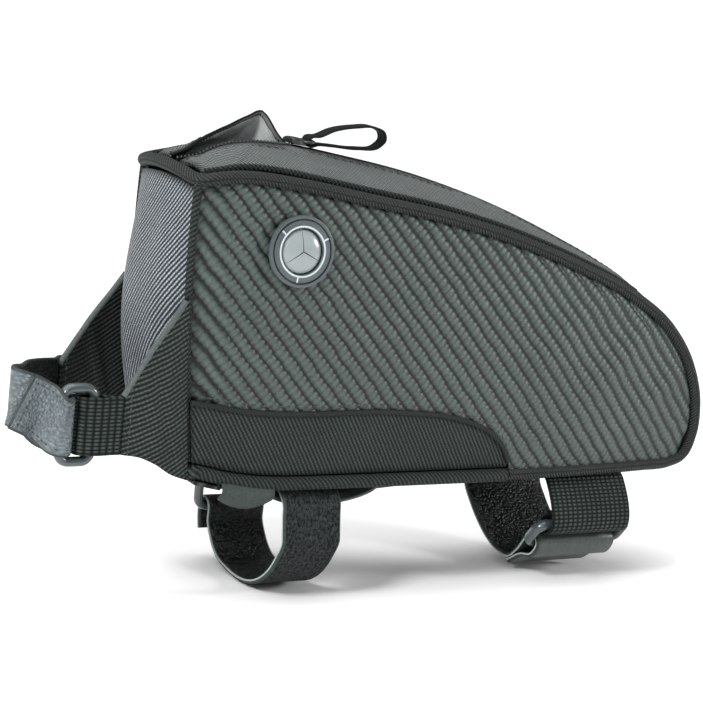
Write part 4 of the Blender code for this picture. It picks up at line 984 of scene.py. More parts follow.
def make_materials(colours):
    """Every material, one call each, named for what it is made of and how."""
    ground = colours.cloth_dark
    carbon_cloth(colours)
    # Heavy twill of the front wall: pale blue-grey stripes that rise to the left
    twill("front_twill", colours.front_dark, colours.front_twill, 1.5, np.radians(34), 0.4 * MM,
          roughness=0.5, sheen=0.05, wear=0.12, shade=0.3, ridge=2.0)
    # Finer twill of the lid and nose, a soft mid grey
    twill("lid_twill", colours.lid_dark, colours.lid_twill, 1.15, np.radians(-40), 0.25 * MM,
          roughness=0.55, sheen=0.05, wear=0.08, shade=0.3)
    # Nearly black twill of the lower inserts and the base
    twill("insert_twill", ground, colours.insert_twill, 1.35, np.radians(-31), 0.35 * MM, wear=0.14)
    # Coarse twill of the wings, with steep ridges
    twill("wing_twill", ground, colours.wing_twill, 1.7, np.radians(74), 0.4 * MM,
          wear=0.18, shade=0.8, ridge=2.0)
    # Tape over the piping cord, wound at a slant
    piping = colours.piping_twill
    twill("piping_twill", shade_of(piping, 0.15), piping, 1.0, np.radians(40), 0.32 * MM, shade=1.0)
    # The wings' inner face: the wing twill at 0.4 of its brightness, painted shade for the shadow it lies in
    twill("wing_back_painted_shade", ground, shade_of(colours.wing_twill, 0.4), 1.7, np.radians(74), 0.4 * MM, ridge=2.5)
    # Bindings and folded seam allowances, darker than the inserts: partly the tape's own colour, partly
    # painted shade for the grooves of the seams they lie in
    twill("binding_twill", ground, shade_of(colours.insert_twill, 0.8), 1.4, np.radians(35), 0.35 * MM,
          shade=1.0)
    # Smooth folded hems, a thin light line
    twill("hem_twill", shade_of(colours.hem, 0.75), colours.hem, 0.6, np.radians(45), 0.12 * MM,
          roughness=0.5, shade=0.8)
    # Narrow band over the inserts' upper edge, a dark step
    band = colours.insert_twill
    twill("band_twill", shade_of(band, 0.12), shade_of(band, 0.5), 0.8, 0.8, 0.1 * MM, shade=0.8)
    # One lining colour at three brightnesses, painted light and shade: a 0.06 copy inside the walls is
    # painted shade, while 0.4 of it on the far zip tape's back and the full pale colour on the lid's back are
    # painted light for the lit inside of the open zip
    dark, half_lit_lining = shade_of(colours.lining, 0.06), shade_of(colours.lining, 0.4)
    twill("wall_lining_painted_shade", shade_of(dark, 0.7), dark, 0.7, 0.4, 0.05 * MM, wear=0.06, shade=0.8)
    for name, share, high in (("tape_back_painted_light", 0.7, half_lit_lining), ("lid_back_painted_light", 0.75, colours.lining)):
        twill(name, shade_of(high, share), high, 0.7, 0.4, 0.05 * MM, roughness=0.55, wear=0.06, shade=0.8)
    # Coated straps: pebbled and grey outside, green-black inside, with matt cut edges
    face, tube_face = colours.strap_face, colours.tube_strap_face
    pebbled("pebbled_strap_face", shade_of(face, 0.4), face, 1.15, 0.6 * MM, 0.36)
    pebbled("pebbled_strap_back", shade_of(colours.strap_back, 0.12), colours.strap_back, 1.2, 0.6 * MM, 0.4)
    pebbled("smooth_strap_face", shade_of(tube_face, 0.75), tube_face, 0.7, 0.03 * MM, 0.4)
    pebbled("cut_edge", shade_of(colours.cut_edge, 0.6), colours.cut_edge, 0.5, 0.05 * MM, 0.7)
    loop_pile(shade_of(colours.pile, 0.1), colours.pile)
    # Nylon webbing, ribbed at the steerer and basket woven at the tube, and the zip's fine tape
    woven_band("ribbed_webbing", ground, colours.webbing, 1.3, 2.6, 0.45 * MM)
    woven_band("basket_webbing", ground, colours.webbing, 2.2, 1.45, 0.5 * MM)
    woven_band("zip_tape", shade_of(colours.zip, 0.3), colours.zip, 1.2, 0.9, 0.15 * MM)
    # Glossy acetal rings, the port's satin flange with a pale inlay, its shiny rubber and the zip's coil
    moulded("moulded_acetal", colours.ring, 0.26, Coat_Weight=0.4, Coat_Roughness=0.12)
    moulded("moulded_flange", colours.flange, 0.38)
    moulded("pale_inlay", colours.inlay, 0.4)
    moulded("silicone_rubber", colours.membrane, 0.24, Coat_Weight=0.3, Coat_Roughness=0.15)
    moulded("nylon_coil", colours.zip, 0.45)
    # Sewing thread, pale and dark, fuzzy at its edges
    moulded("sewing_thread", colours.thread, 0.8, 3000.0, 0.05, Sheen_Weight=0.3)
    moulded("dark_thread", colours.zip, 0.8, 3000.0, 0.05, Sheen_Weight=0.3)


def colour_property(name, code, words):
    return FloatVectorProperty(
        name=name, description=words, subtype="COLOR", size=3, min=0, max=1, default=linear(code),
    )


def length_property(name, millimetres, words):
    return FloatProperty(name=name, description=words, unit="LENGTH", default=millimetres * MM)


class BagColours(bpy.types.PropertyGroup):
    front_twill: colour_property("Front twill", "#a3abb1", "Raised threads of the front wall")
    front_dark: colour_property("Front ground", "#12171b", "Sunk threads of the front wall")
    lid_twill: colour_property("Lid twill", "#7f8584", "Raised threads of the lid and the nose")
    lid_dark: colour_property("Lid ground", "#272c2b", "Sunk threads of the lid and the nose")
    carbon_light: colour_property("Carbon light", "#434f4b", "Raised beads of the embossed sides")
    # Painted shade: the near-black ground between the beads stands for the shade in the valleys
    carbon_valley_shade: colour_property("Carbon dark", "#060a09", "Ground between the beads")
    cloth_dark: colour_property("Twill ground", "#060908", "Sunk threads of the inserts, wings and webbing")
    insert_twill: colour_property("Insert twill", "#3d4844", "Raised threads of the lower inserts")
    wing_twill: colour_property("Wing twill", "#49534f", "Raised threads of the wings")
    piping_twill: colour_property("Piping twill", "#3c4240", "Raised threads of the piping")
    hem: colour_property("Hem", "#525a58", "Folded hems and edge bands")
    # Painted light: this pale colour stands for light on the lid's back at the open zip, and the walls'
    # inside takes a shaded copy of it
    lining: colour_property("Lining", "#c6cbca", "Smooth back of the lid and the inside")
    strap_face: colour_property("Strap face", "#7a858a", "Pebbled outside of the steerer strap")
    strap_back: colour_property("Strap back", "#1a2822", "Pebbled inside of the straps")
    tube_strap_face: colour_property("Tube strap face", "#454e4a", "Smooth outside of the rear tube strap")
    cut_edge: colour_property("Cut edge", "#3a4441", "Cut edges of the laminated straps")
    pile: colour_property("Loop pile", "#434b4a", "Brushed outside of the front tube strap")
    webbing: colour_property("Webbing", "#414b47", "Raised threads of the webbing")
    zip: colour_property("Zip", "#1b2221", "Coil, tape and slider of the zip")
    ring: colour_property("Ring", "#3a4244", "Moulded rings of the straps")
    flange: colour_property("Flange", "#474f50", "Flange of the cable port")
    inlay: colour_property("Inlay", "#b2bcbf", "Pale ring and marks of the cable port")
    membrane: colour_property("Membrane", "#889090", "Slit rubber of the cable port")
    thread: colour_property("Thread", "#98a3a0", "Pale stitches")


class BagSizes(bpy.types.PropertyGroup):
    stitch: length_property("Stitch", 2.2, "Length of one stitch")
    stitch_gap: length_property("Stitch spacing", 3.3, "From stitch to stitch")
    thread: length_property("Thread", 0.55, "Thickness of the thread")
    tooth: length_property("Coil turn", 1.35, "From turn to turn of the zip's coil")
    band: length_property("Edge band", 1.9, "Width of the band over the lower inserts")
    padding: length_property("Padding", 1.2, "Most that the cloth simulation may move a wall")


def sizes():
    return bpy.context.scene.bag_sizes


def stitches(name, lines, material="sewing_thread", slot="nylon_webbing"):
    size = sizes()
    made = along_lines(name, "beads_in_a_row", lines,
                       Pitch=size.stitch_gap, Along=size.stitch, Across=size.thread,
                       Material=finish(material))
    return fit(made, slot)


def dipped(grid, normals, depth, reach, edges):
    """The grid with the chosen edges drawn in towards their seams."""
    along, across, _ = cloth_measures(grid)
    far = np.full(along.shape, 1e3)
    if "start" in edges:
        far = np.minimum(far, along)
    if "end" in edges:
        far = np.minimum(far, along[-1:] - along)
    if "low" in edges:
        far = np.minimum(far, across)
    if "high" in edges:
        far = np.minimum(far, across[:, -1:] - across)
    part = np.clip(far * MM / reach, 0, 1)
    fall = depth * (1 - part * part * (3 - 2 * part))
    return grid - normals * fall[..., None]


class BAG_OT_sides(bpy.types.Operator):
    """Makes the embossed sides, their twill inserts and the bands between them"""

    bl_idname = "bag.sides"
    bl_label = "Sides"

    def execute(self, context):
        for side, suffix in ((-1.0, "near"), (1.0, "far")):
            self.side(side, suffix)
        return {"FINISHED"}

    def side(self, side, suffix):
        last = INSERT_EDGE[-1][0]
        front = np.linspace(GAP / LENGTH, INSERT_EDGE[5][0], 70)
        drop = np.linspace(INSERT_EDGE[5][0], last, 40)[1:]
        insert_ways = np.concatenate([front, drop])
        rest = np.linspace(last, 1.0, 60)[1:]
        ways = np.concatenate([insert_ways, rest])
        edge = insert_edge(insert_ways)[..., 0]
        start = np.concatenate([edge + GAP / side_height(insert_ways), np.zeros(len(rest))])
        rows = np.linspace(0, 1, 64)
        under = PANEL_INSET - 0.5 * PIPING_RADIUS
        rest_low = -under / side_height(np.minimum(ways, 0.985)) * np.clip((ways - last) / 0.02, 0, 1)
        top = 1 + under / side_height(np.minimum(ways, 0.985))
        share = (start + rest_low)[:, None] * (1 - rows) + top[:, None] * rows
        grid = side_points(ways[:, None], share, side)
        swell = self.puckers(ways[:, None], np.clip(share, 0, 1))
        grid[..., 1] += side * swell
        grid = settle(grid, 0.6 * side, 0.0, sizes().padding * 0.6)
        grid = dipped(grid, grid_normals(grid) * -side, 0.7 * MM, 4 * MM, ("end", "high"))
        grid = dipped(grid, grid_normals(grid) * -side, 3.6 * MM, 13 * MM, ("start",))
        weave = (grid[..., 0] / MM, grid[..., 2] / MM)
        kinds = (finish("embossed_coated_cloth"), finish("wall_lining_painted_shade"))
        panel = shell(f"carbon_side_{suffix}", grid, SIDE_WALL, -side, kinds, weave)
        if side < 0:
            self.port_hole(panel)
        fit(panel, "carbon_look_cloth", f"side_panel_{suffix}")

        rows = np.linspace(0, 1, 22)
        grid = side_points(insert_ways[:, None], edge[:, None] * rows, side)
        grid = dipped(grid, grid_normals(grid) * -side, 0.5 * MM, 2 * MM, ("start", "low"))
        weave = (grid[..., 0] / MM, grid[..., 2] / MM)
        kinds = (finish("insert_twill"), finish("wall_lining_painted_shade"))
        insert = shell(f"twill_insert_{suffix}", grid, INSERT_WALL, -side, kinds, weave)
        fit(insert, "polyester_twill", f"side_insert_{suffix}")

        line = side_points(insert_ways, edge, side)
        ahead = unit(np.gradient(line, axis=0))
        out = np.array([0.0, side, 0.0])
        run = Run(line + out * 0.25 * MM, np.cross(ahead, out))
        section = strap_section(sizes().band, 1.1 * MM, 5)
        band = sweep(f"edge_band_{suffix}", run, section, (finish("band_twill"),))
        fit(band, "polyester_twill")
        above = side_points(insert_ways, edge + 2.6 * MM / side_height(insert_ways), side)
        stitches(f"band_stitches_{suffix}", [above[2:-6]], "dark_thread")

        up = np.linspace(0.0, 1.02, 60)
        seam = side_points(0.0, np.minimum(up, 1.0), side)
        seam[:, 2] += np.maximum(up - 1.0, 0) * HEIGHT
        seam[:, 1] -= side * SEAM_CORD_TUCK
        seam[:, 0] += (0.7 if side > 0 else -0.1) * MM
        cord = along_lines(f"front_seam_{suffix}", "covered_cord", [seam], Radius=SEAM_CORD_RADIUS,
                           Material=finish("binding_twill"))
        fit(cord, "polyester_twill")

    def puckers(self, way, up):
        """Broad soft folds of the padded wall, strongest near the nose where the piping draws it in."""
        swell = np.zeros(np.broadcast_shapes(way.shape, up.shape))
        for place, lean, width, high in PUCKERS:
            swell = swell + high * MM * np.exp(-(((way - place - lean * (up - 0.6)) / width) ** 2)) * up**1.5
        return swell * np.sin(np.pi * np.clip(up, 0, 1)) ** 0.5

    def port_hole(self, panel):
        place = side_frame(PORT_ALONG, PORT_UP, -1.0)
        radius, deep = PORT_BARREL / 2 + GAP, SIDE_WALL * 3
        profile = ((0, -deep), (radius, -deep), (radius, deep), (0, deep))
        cut_out(panel, [revolve("port_cutter", profile, place, (finish("wall_lining_painted_shade"),))])


def side_frame(along, up, side):
    """Place and turn of a round fitting on a side: Z out of the wall, Y up it."""
    step = 0.01
    ahead = Vector(side_points(along + step, up, side) - side_points(along - step, up, side))
    upward = Vector(side_points(along, up + step, side) - side_points(along, up - step, side))
    out = ahead.cross(upward).normalized()
    if out.y * side < 0:
        out.negate()
    upward = (upward - out * upward.dot(out)).normalized()
    turn = Matrix((upward.cross(out), upward, out)).transposed().to_4x4()
    return Matrix.Translation(Vector(side_points(along, up, side))) @ turn


class BAG_OT_port(bpy.types.Operator):
    """Makes the cable port: a moulded flange with pale marks and a slit rubber dome"""

    bl_idname = "bag.port"
    bl_label = "Cable port"

    def execute(self, context):
        place = side_frame(PORT_ALONG, PORT_UP, -1.0)
        proud = 3 * GAP
        bore, barrel, rim = PORT_BORE / 2, PORT_BARREL / 2, PORT_DIAMETER / 2
        back = -SIDE_WALL - 2 * GAP
        top = proud + PORT_FLANGE
        groove = rim - 1.5 * MM
        profile = (
            (bore, back), (barrel, back), (barrel, proud), (rim - 0.2 * MM, proud), (rim, proud + 0.2 * MM),
            (rim, top - 0.55 * MM), (rim - 0.2 * MM, top - 0.15 * MM), (rim - 0.6 * MM, top),
            (groove + 0.35 * MM, top - 0.1 * MM), (groove + 0.2 * MM, top - 1.0 * MM),
            (groove - 0.2 * MM, top - 1.0 * MM), (groove - 0.35 * MM, top),
            (bore + 1.1 * MM, top), (bore + 0.9 * MM, top + 0.1 * MM), (bore + 0.3 * MM, top + 0.1 * MM),
            (bore, top - 0.15 * MM),
        )
        flange = revolve("port_flange", profile, place, (finish("moulded_flange"),))
        fit(flange, "moulded_nylon", "port_ring")
        turns = np.linspace(0, 2 * np.pi, 12, endpoint=False)
        middle, wire = bore + 0.6 * MM, 0.32 * MM
        loop = [(middle + wire * np.cos(t), top + 0.1 * MM + wire * 0.5 * np.sin(t)) for t in turns]
        inlay = revolve("port_inlay", loop, place, (finish("pale_inlay"),), 96)
        fit(inlay, "moulded_nylon")
        for mark, turn in enumerate(np.radians((28.0, 142.0, 264.0))):
            self.mark(mark, turn, place, bore + 0.9 * MM, groove - 0.3 * MM, top)
        self.dome(place, bore - GAP, proud)
        return {"FINISHED"}

    def mark(self, number, turn, place, inner, outer, top):
        radii = np.linspace(inner, outer, 6)
        points = [place @ Vector((r * np.cos(turn), r * np.sin(turn), top)) for r in radii]
        across = place.to_3x3() @ Vector((-np.sin(turn), np.cos(turn), 0.0))
        run = Run([tuple(p) for p in points], tuple(across))
        section = strap_section(0.6 * MM, 0.3 * MM, 3)
        piece = sweep(f"port_mark_{number + 1}", run, section, (finish("pale_inlay"),))
        fit(piece, "moulded_nylon")

    def dome(self, place, edge, proud):
        turns = np.linspace(0, np.pi / 2, 12)
        top = [(edge * np.cos(t), proud + PORT_DOME * np.sin(t)) for t in turns]
        top[-1] = (0.0, top[-1][1])
        under = [(radius * 0.93, height - PORT_RUBBER) for radius, height in reversed(top)]
        dome = revolve("port_dome", tuple(under + top), place, (finish("silicone_rubber"),))
        cutters = []
        for index in range(3):
            turn = np.pi / 2 + index * 2 * np.pi / 3 + 0.12
            spin = Matrix.Rotation(turn, 4, "Z")
            width, root, tip = SLIT_WIDTH * SLIT_NARROW, 0.1 * MM, SLIT_LENGTH + 0.8 * MM
            corners = [(root, -width), (tip, -width * 0.4), (tip, width * 0.4), (root, width)]
            levels = (-6 * MM, 6 * MM)
            vertices = [tuple(place @ spin @ Vector((x, y, z))) for z in levels for x, y in corners]
            faces = [(0, 1, 2, 3), (7, 6, 5, 4), (0, 4, 5, 1), (1, 5, 6, 2), (2, 6, 7, 3), (3, 7, 4, 0)]
            cutters.append(make_piece(f"slit_{index + 1}", vertices, faces, (finish("silicone_rubber"),)))
        cut_out(dome, cutters)
        dome.data.shade_smooth()
        dome.data.set_sharp_from_angle(angle=0.7)
        fit(dome, "moulded_rubber", "port_membrane")


class BAG_OT_walls(bpy.types.Operator):
    """Makes the padded front wall, the base and the cloth over the nose"""

    bl_idname = "bag.walls"
    bl_label = "Front, base and nose"

    def execute(self, context):
        self.front()
        self.base()
        self.nose()
        return {"FINISHED"}

    def front(self):
        up = np.linspace(0.0, 1.0, 60)[None, :]
        across = np.sin(np.linspace(-np.pi / 2, np.pi / 2, 44))[:, None]
        seam = side_points(0.0, up * (1 - 3 * GAP / HEIGHT), 1.0)
        half = seam[..., 1] - SIDE_WALL - GAP
        bow, rise = front_edge(across)
        blend = up**4
        bulge = FRONT_BULGE * (1 - across**4) * np.sin(np.pi * (0.12 + 0.73 * up))
        x = seam[..., 0] - bulge * (1 - blend) - bow * blend
        y = across * half
        z = seam[..., 2] + rise * blend
        grid = np.stack([x, y + 0 * x, z + 0 * x], axis=-1)
        grid = settle(grid, -1.0, 0.0, sizes().padding)
        along_mm, across_mm, _ = cloth_measures(grid)
        weave = (along_mm[-1:] - along_mm, across_mm)
        kinds = (finish("front_twill"), finish("wall_lining_painted_shade"))
        wall = shell("front_wall", grid, FRONT_WALL, -1.0, kinds, weave)
        fit(wall, "polyester_twill", "front_panel")

    def base(self):
        start = (FRONT_WALL + 2 * GAP) / LENGTH
        ways = np.linspace(start, 0.945, 120)
        line = lower(ways)
        half = half_width(ways, 0.0) - PIPING_RADIUS - GAP
        across = np.linspace(-1.0, 1.0, 24)[None, :]
        shape = (len(ways), 24)
        x = np.broadcast_to(line[:, 0:1], shape)
        z = np.broadcast_to(line[:, 1:2], shape)
        grid = np.stack([x, across * half[:, None], z], axis=-1)
        weave = (x / MM, grid[..., 1] / MM)
        kinds = (finish("insert_twill"), finish("wall_lining_painted_shade"))
        floor = shell("base_pad", grid, BASE_WALL, 1.0, kinds, weave)
        fit(floor, "polyester_twill", "base_panel")

    def nose(self):
        ways = np.linspace(ZIP_END + 2 * GAP / LENGTH, 1.0, 46)
        shares = np.linspace(0.0, 1.0, 12)
        halves = []
        for side in (-1.0, 1.0):
            first = (PIPING_RADIUS + GAP) / lid_span(ways, side)
            inward = first[:, None] + (1 - first[:, None]) * shares[None, :]
            halves.append(lid_points(ways[:, None], inward, side))
        near, far = halves
        middle = (near[:, -1:] + far[:, -1:]) / 2
        grid = np.concatenate([near[:, :-1], middle, far[:, :-1][:, ::-1]], axis=1)
        last = grid[-1]
        across = last[:, 1] / np.abs(last[:, 1]).max()
        nose, toe = outline.knots[NOSE_ROW], outline.knots[TOE_ROW]
        rows = []
        for turn in np.linspace(nose, toe + 0.5 * (toe - nose), 10)[1:]:
            x, z = outline(turn)
            half = loop_width(turn) - PIPING_RADIUS - GAP
            swell = (1 - across**2) * 0.12 * LID_RISE
            rows.append(np.stack([x + swell, across * half, z - 0.3 * swell], axis=-1))
        grid = np.concatenate([grid, np.array(rows)], axis=0)
        nose_cloth = shell("nose_cloth", grid, LID_WALL, 1.0, (finish("lid_twill"), finish("wall_lining_painted_shade")))
        fit(nose_cloth, "polyester_twill", "nose_gusset")


class BAG_OT_lid(bpy.types.Operator):
    """Makes both halves of the lid, the zip with its coil, the slider and its pull"""

    bl_idname = "bag.lid"
    bl_label = "Lid and zip"

    def execute(self, context):
        front = np.linspace(LID_START, MOUTH[-1][0], 90)
        back = np.linspace(MOUTH[-1][0], ZIP_END, 100)[1:]
        ways = np.concatenate([front, back])
        for side, suffix in ((-1.0, "near"), (1.0, "far")):
            self.half(ways, side, suffix)
        self.slider()
        return {"FINISHED"}

    def half(self, ways, side, suffix):
        span = lid_span(ways, side)
        start = (PIPING_RADIUS + GAP) / span
        stop = 1.0 - (ZIP_STRIP + 2 * GAP) / span
        share = np.linspace(0, 1, 26)[None, :]
        grid = lid_points(ways[:, None], start[:, None] * (1 - share) + stop[:, None] * share, side)
        grid = settle(grid, 0.15 * side, 0.006, 0.7 * MM)
        grid = dipped(grid, grid_normals(grid) * -side, 0.8 * MM, 3.5 * MM, ("low", "start"))
        kinds = (finish("lid_twill"), finish("lid_back_painted_light"))
        cloth = shell(f"lid_cloth_{suffix}", grid, LID_WALL * 0.8, -side, kinds)
        fit(cloth, "polyester_twill", f"lid_{suffix}")
        strip = (1.0 - (ZIP_STRIP + 2 * GAP) / span)[:, None] * (1 - share[:, ::5]) + share[:, ::5]
        tape = lid_points(ways[:, None], strip, side)
        # The far tape's back takes the half-lit lining copy as painted light; the near one keeps the zip tape
        inside = finish("tape_back_painted_light") if side > 0 else finish("zip_tape")
        piece = shell(f"zip_tape_{suffix}", tape, ZIP_WALL * 0.6, -side, (finish("zip_tape"), inside))
        fit(piece, "nylon_webbing", f"zip_{suffix}")
        edge = lid_points(ways, 1.0 - 0.5 * MM / span, side)
        edge = edge - np.array([0.0, -0.5 * MM * max(side, 0.0), 0.9 * MM if side > 0 else 0.2 * MM])
        edge[ways > SLIDER_ALONG, 2] -= 1.1 * MM
        tooth = sizes().tooth
        coil = along_lines(f"zip_coil_{suffix}", "beads_in_a_row", [edge], Pitch=tooth,
                           Along=tooth * 0.8, Across=COIL_WIDTH, Material=finish("nylon_coil"))
        fit(coil, "nylon_webbing")
        seam = lid_points(ways[4:-2], 1.0 - (ZIP_STRIP + 2.6 * MM) / span[4:-2], side)
        seam[:, 2] -= 0.2 * MM
        stitches(f"lid_stitches_{suffix}", [seam], "dark_thread")
        ridge = lid_points(ways, (PIPING_RADIUS + 2.1 * MM) / span, side)
        ridge[:, 2] += 0.1 * MM
        cord = along_lines(f"lid_seam_{suffix}", "covered_cord", [ridge], Radius=LID_CORD_RADIUS,
                           Material=finish("binding_twill"))
        fit(cord, "polyester_twill")

    def slider(self):
        top, _ = crown_line(SLIDER_ALONG)
        seat, x = float(top[1]) + GAP, float(top[0])
        half_l, half_w = SLIDER_LENGTH / 2, SLIDER_WIDTH / 2
        rows, columns = np.meshgrid(np.linspace(-1, 1, 20), np.linspace(-1, 1, 20), indexing="ij")
        y = columns * half_w * (1 - 0.25 * np.clip(rows, 0, 1))
        rise = SLIDER_HEIGHT * np.sqrt(1 - 0.45 * rows**4 - 0.35 * columns**4)
        slope = CROWN_SLOPE * rows * half_l
        above = np.stack([x + rows * half_l, y, seat + rise + slope], axis=-1)
        below = np.stack([x + rows * half_l, y, seat + slope], axis=-1)
        vertices = np.concatenate([above.reshape(-1, 3), below.reshape(-1, 3)])
        faces = np.concatenate(closed_faces(*rows.shape))
        body = make_piece("slider_body", vertices, faces, (finish("nylon_coil"),))
        round_edges(body, 0.3 * MM)
        fit(body, "moulded_nylon", "zip_slider")
        arm = PULL_WIDTH / 2 + GAP + BAIL_WIRE / 2
        level = seat + SLIDER_HEIGHT * 0.45
        root, end = x + half_l * 0.6, x + half_l + BAIL_REACH
        eye = [(root, -arm * 0.7), (x + half_l, -arm)]
        eye += [(end - BAIL_WIRE / 2, -arm), (end, -arm + BAIL_WIRE / 2)]
        eye += [(spot, -y) for spot, y in reversed(eye)]
        line = smooth_curve([(spot, across, level) for spot, across in eye])(np.linspace(0, 1, 60))
        bail = along_lines("slider_eye", "covered_cord", [line], Radius=BAIL_WIRE / 2,
                           Material=finish("nylon_coil"))
        fit(bail, "moulded_nylon")
        start = np.array([end, 0.0, level])
        turn = BAIL_WIRE / 2 + GAP + PULL_WALL / 2
        path = [start + np.array([-turn, 0.0, 0.0]), start + np.array([-turn * 0.5, 0.0, turn])]
        path += [start + PULL_LENGTH * np.array([along, 0.0, up]) for along, up in PULL_LOOP]
        path += [start + np.array([-turn * 0.5, 0.0, -turn])]
        round_trip = smooth_curve(path + path[:1])(np.linspace(0, 1, 161))[:-1]
        run = Run(round_trip, (0.0, 1.0, 0.0), closed=True)
        section = strap_section(PULL_WIDTH, PULL_WALL * 0.8, 6)
        pull = sweep("pull_tape", run, section, (finish("zip_tape"),), closed=True)
        fit(pull, "nylon_webbing", "pull_loop")


class BAG_OT_piping(bpy.types.Operator):
    """Makes the covered cord round the edges and the bindings along the base"""

    bl_idname = "bag.piping"
    bl_label = "Piping and bindings"

    def execute(self, context):
        nose, toe = outline.knots[NOSE_ROW], outline.knots[TOE_ROW]
        start = CORNER_RADIUS / LENGTH * nose
        turns = np.concatenate([np.linspace(start, toe, 220), np.linspace(toe, PIPING_END, 70)[1:]])
        far = edge_path(turns)
        far[:, 1] -= PIPING_DRAWN * np.clip((turns - 0.12) / 0.2, 0, 1)
        near = far[::-1] * np.array([1.0, -1.0, 1.0])
        half = half_width(0.0, 1.0)
        across = np.linspace(-1.0, 1.0, 9)
        bow, rise = front_edge(across)
        line = np.stack([FRONT_X - bow, across * (half - CORNER_RADIUS), upper(0.0)[1] + rise], axis=-1)
        bend = CORNER_RADIUS * (1 - np.sqrt(0.5))
        corner = np.array([FRONT_X + bend, half - bend, upper(0.0)[1]])
        mirrored = corner * np.array([1.0, -1.0, 1.0])
        front = np.concatenate([near[-6:], [mirrored], line, [corner], far[:6]])
        front = smooth_curve(front)(np.linspace(0, 1, 90))
        path = np.concatenate([near[:-6], front, far[6:]])
        cord = along_lines("piping_cord", "covered_cord", [path], Radius=PIPING_RADIUS * PIPING_SLIM,
                           Material=finish("piping_twill"))
        fit(cord, "polyester_twill", "edge_piping")
        for side, suffix in ((-1.0, "near"), (1.0, "far")):
            turns = np.linspace(PIPING_END + 2 * GAP / LENGTH, 1.0 - 1.5 * MM / LENGTH, 110)
            path = edge_path(turns) * np.array([1.0, side, 1.0])
            end, radius = path[-1], PIPING_RADIUS * 0.55
            turn = np.linspace(0, np.pi / 2, 8)[1:]
            inward = -side * radius * (1 - np.cos(turn))
            corner = end + np.stack([-radius * np.sin(turn), inward, 0 * turn], axis=-1)
            level = np.linspace(corner[-1], corner[-1] * np.array([1.0, 0.0, 1.0]), 16)[1:]
            path = np.concatenate([path, corner, level])
            cord = along_lines(f"binding_cord_{suffix}", "covered_cord", [path], Radius=PIPING_RADIUS,
                               Material=finish("binding_twill"))
            fit(cord, "polyester_twill", f"binding_{suffix}")
        return {"FINISHED"}


class BAG_OT_wings(bpy.types.Operator):
    """Makes the folded twill wings in the front seams and the tabs under the front corners"""

    bl_idname = "bag.wings"
    bl_label = "Wings and tabs"

    def execute(self, context):
        for side, suffix in ((-1.0, "near"), (1.0, "far")):
            self.wing(side, suffix)
            self.tab(side, suffix)
        return {"FINISHED"}

    def wing(self, side, suffix):
        rows = table(WING)
        reach = np.linspace(0, 1, 50)
        shape = rows(reach)
        share = np.linspace(0, 1, 40)[None, :]
        height = WING_TOP * (shape[:, 0:1] * (1 - share) + shape[:, 1:2] * share)
        seam_x, seam_half = seam_at(height)
        forward = reach[:, None]
        x = (seam_x - GAP) * (1 - forward) + wing_front(side) * forward
        y = seam_half - shape[:, 2:3] * HALF_WIDTH
        crease = np.exp(-(((forward - 0.42 + 0.35 * (share - 0.5)) / 0.07) ** 2))
        arch = np.sin(np.pi * share)
        y = y + (0.9 * MM * np.sin(np.pi * forward) * arch - 0.7 * MM * crease * arch)
        grid = np.stack([x, side * y, height], axis=-1)
        drawn = (grid[..., 0] - wing_front(side)) / MM
        weave = (drawn, grid[..., 2] / MM - 0.0101 * drawn**2)
        kinds = (finish("wing_twill"), finish("wing_back_painted_shade"))
        wing = shell(f"wing_cloth_{suffix}", grid, WING_WALL, -side, kinds, weave)
        round_edges(wing, 0.5 * MM)
        fit(wing, "polyester_twill", f"wing_{suffix}")
        inner = grid - grid_normals(grid) * WING_WALL * -side
        hem_row = grid[-6, 2:-2] if side < 0 else inner[-5, 2:-2]
        stitches(f"wing_stitches_{suffix}", [hem_row], "dark_thread")
        middle = grid - grid_normals(grid) * WING_WALL / 2 * -side
        hem = along_lines(f"wing_hem_{suffix}", "covered_cord", [middle[3:, 0]], Radius=WING_WALL * 0.56,
                          Material=finish("hem_twill"))
        fit(hem, "polyester_twill")

    def tab(self, side, suffix):
        x = np.linspace(KEEPER_START - 2 * GAP - TAB_LENGTH, KEEPER_START - 2 * GAP, 24)
        under = base_under(x) - GAP
        across = np.linspace(0.45, 1.0, 24)
        drop = (PIPING_RADIUS + GAP) * np.clip((across - 0.62) / 0.2, 0, 1)
        aside = side * across * STRAP_SPREAD
        grid = np.stack(np.broadcast_arrays(x[:, None], aside, under[:, None] - drop), axis=-1)
        weave = (grid[..., 0] / MM, grid[..., 1] / MM)
        tab = shell(f"corner_cloth_{suffix}", grid, KEEPER_WALL, side, (finish("wing_twill"),), weave)
        round_edges(tab, 0.4 * MM)
        fit(tab, "polyester_twill", f"corner_tab_{suffix}")


def ring_piece(name, centre, long_axis, short_axis, strap_width, node):
    """A moulded ring with two bars round a strap's width."""
    length = strap_width + 2 * RING_PLAY + RING_WIRE
    breadth = RING_SLOT + RING_WIRE
    corner = RING_WIRE
    long_axis, short_axis = np.array(long_axis), np.array(short_axis)
    path = []
    for quarter in range(4):
        sign_long, sign_short = (1, -1, -1, 1)[quarter], (1, 1, -1, -1)[quarter]
        middle = np.array(centre) + long_axis * sign_long * (length / 2 - corner)
        middle = middle + short_axis * sign_short * (breadth / 2 - corner)
        for turn in np.pi / 2 * (quarter + np.linspace(0, 1, 9)):
            path.append(middle + corner * (np.cos(turn) * long_axis + np.sin(turn) * short_axis))
    path = np.array(path)
    plane = np.cross(long_axis, short_axis)
    run = Run(path, plane, closed=True)
    turns = np.linspace(0, 2 * np.pi, 16, endpoint=False)
    section = [(RING_DEPTH / 2 * np.cos(t), RING_WIRE / 2 * np.sin(t)) for t in turns]
    piece = sweep(name, run, section, (finish("moulded_acetal"),), closed=True)
    fit(piece, "moulded_nylon", node)


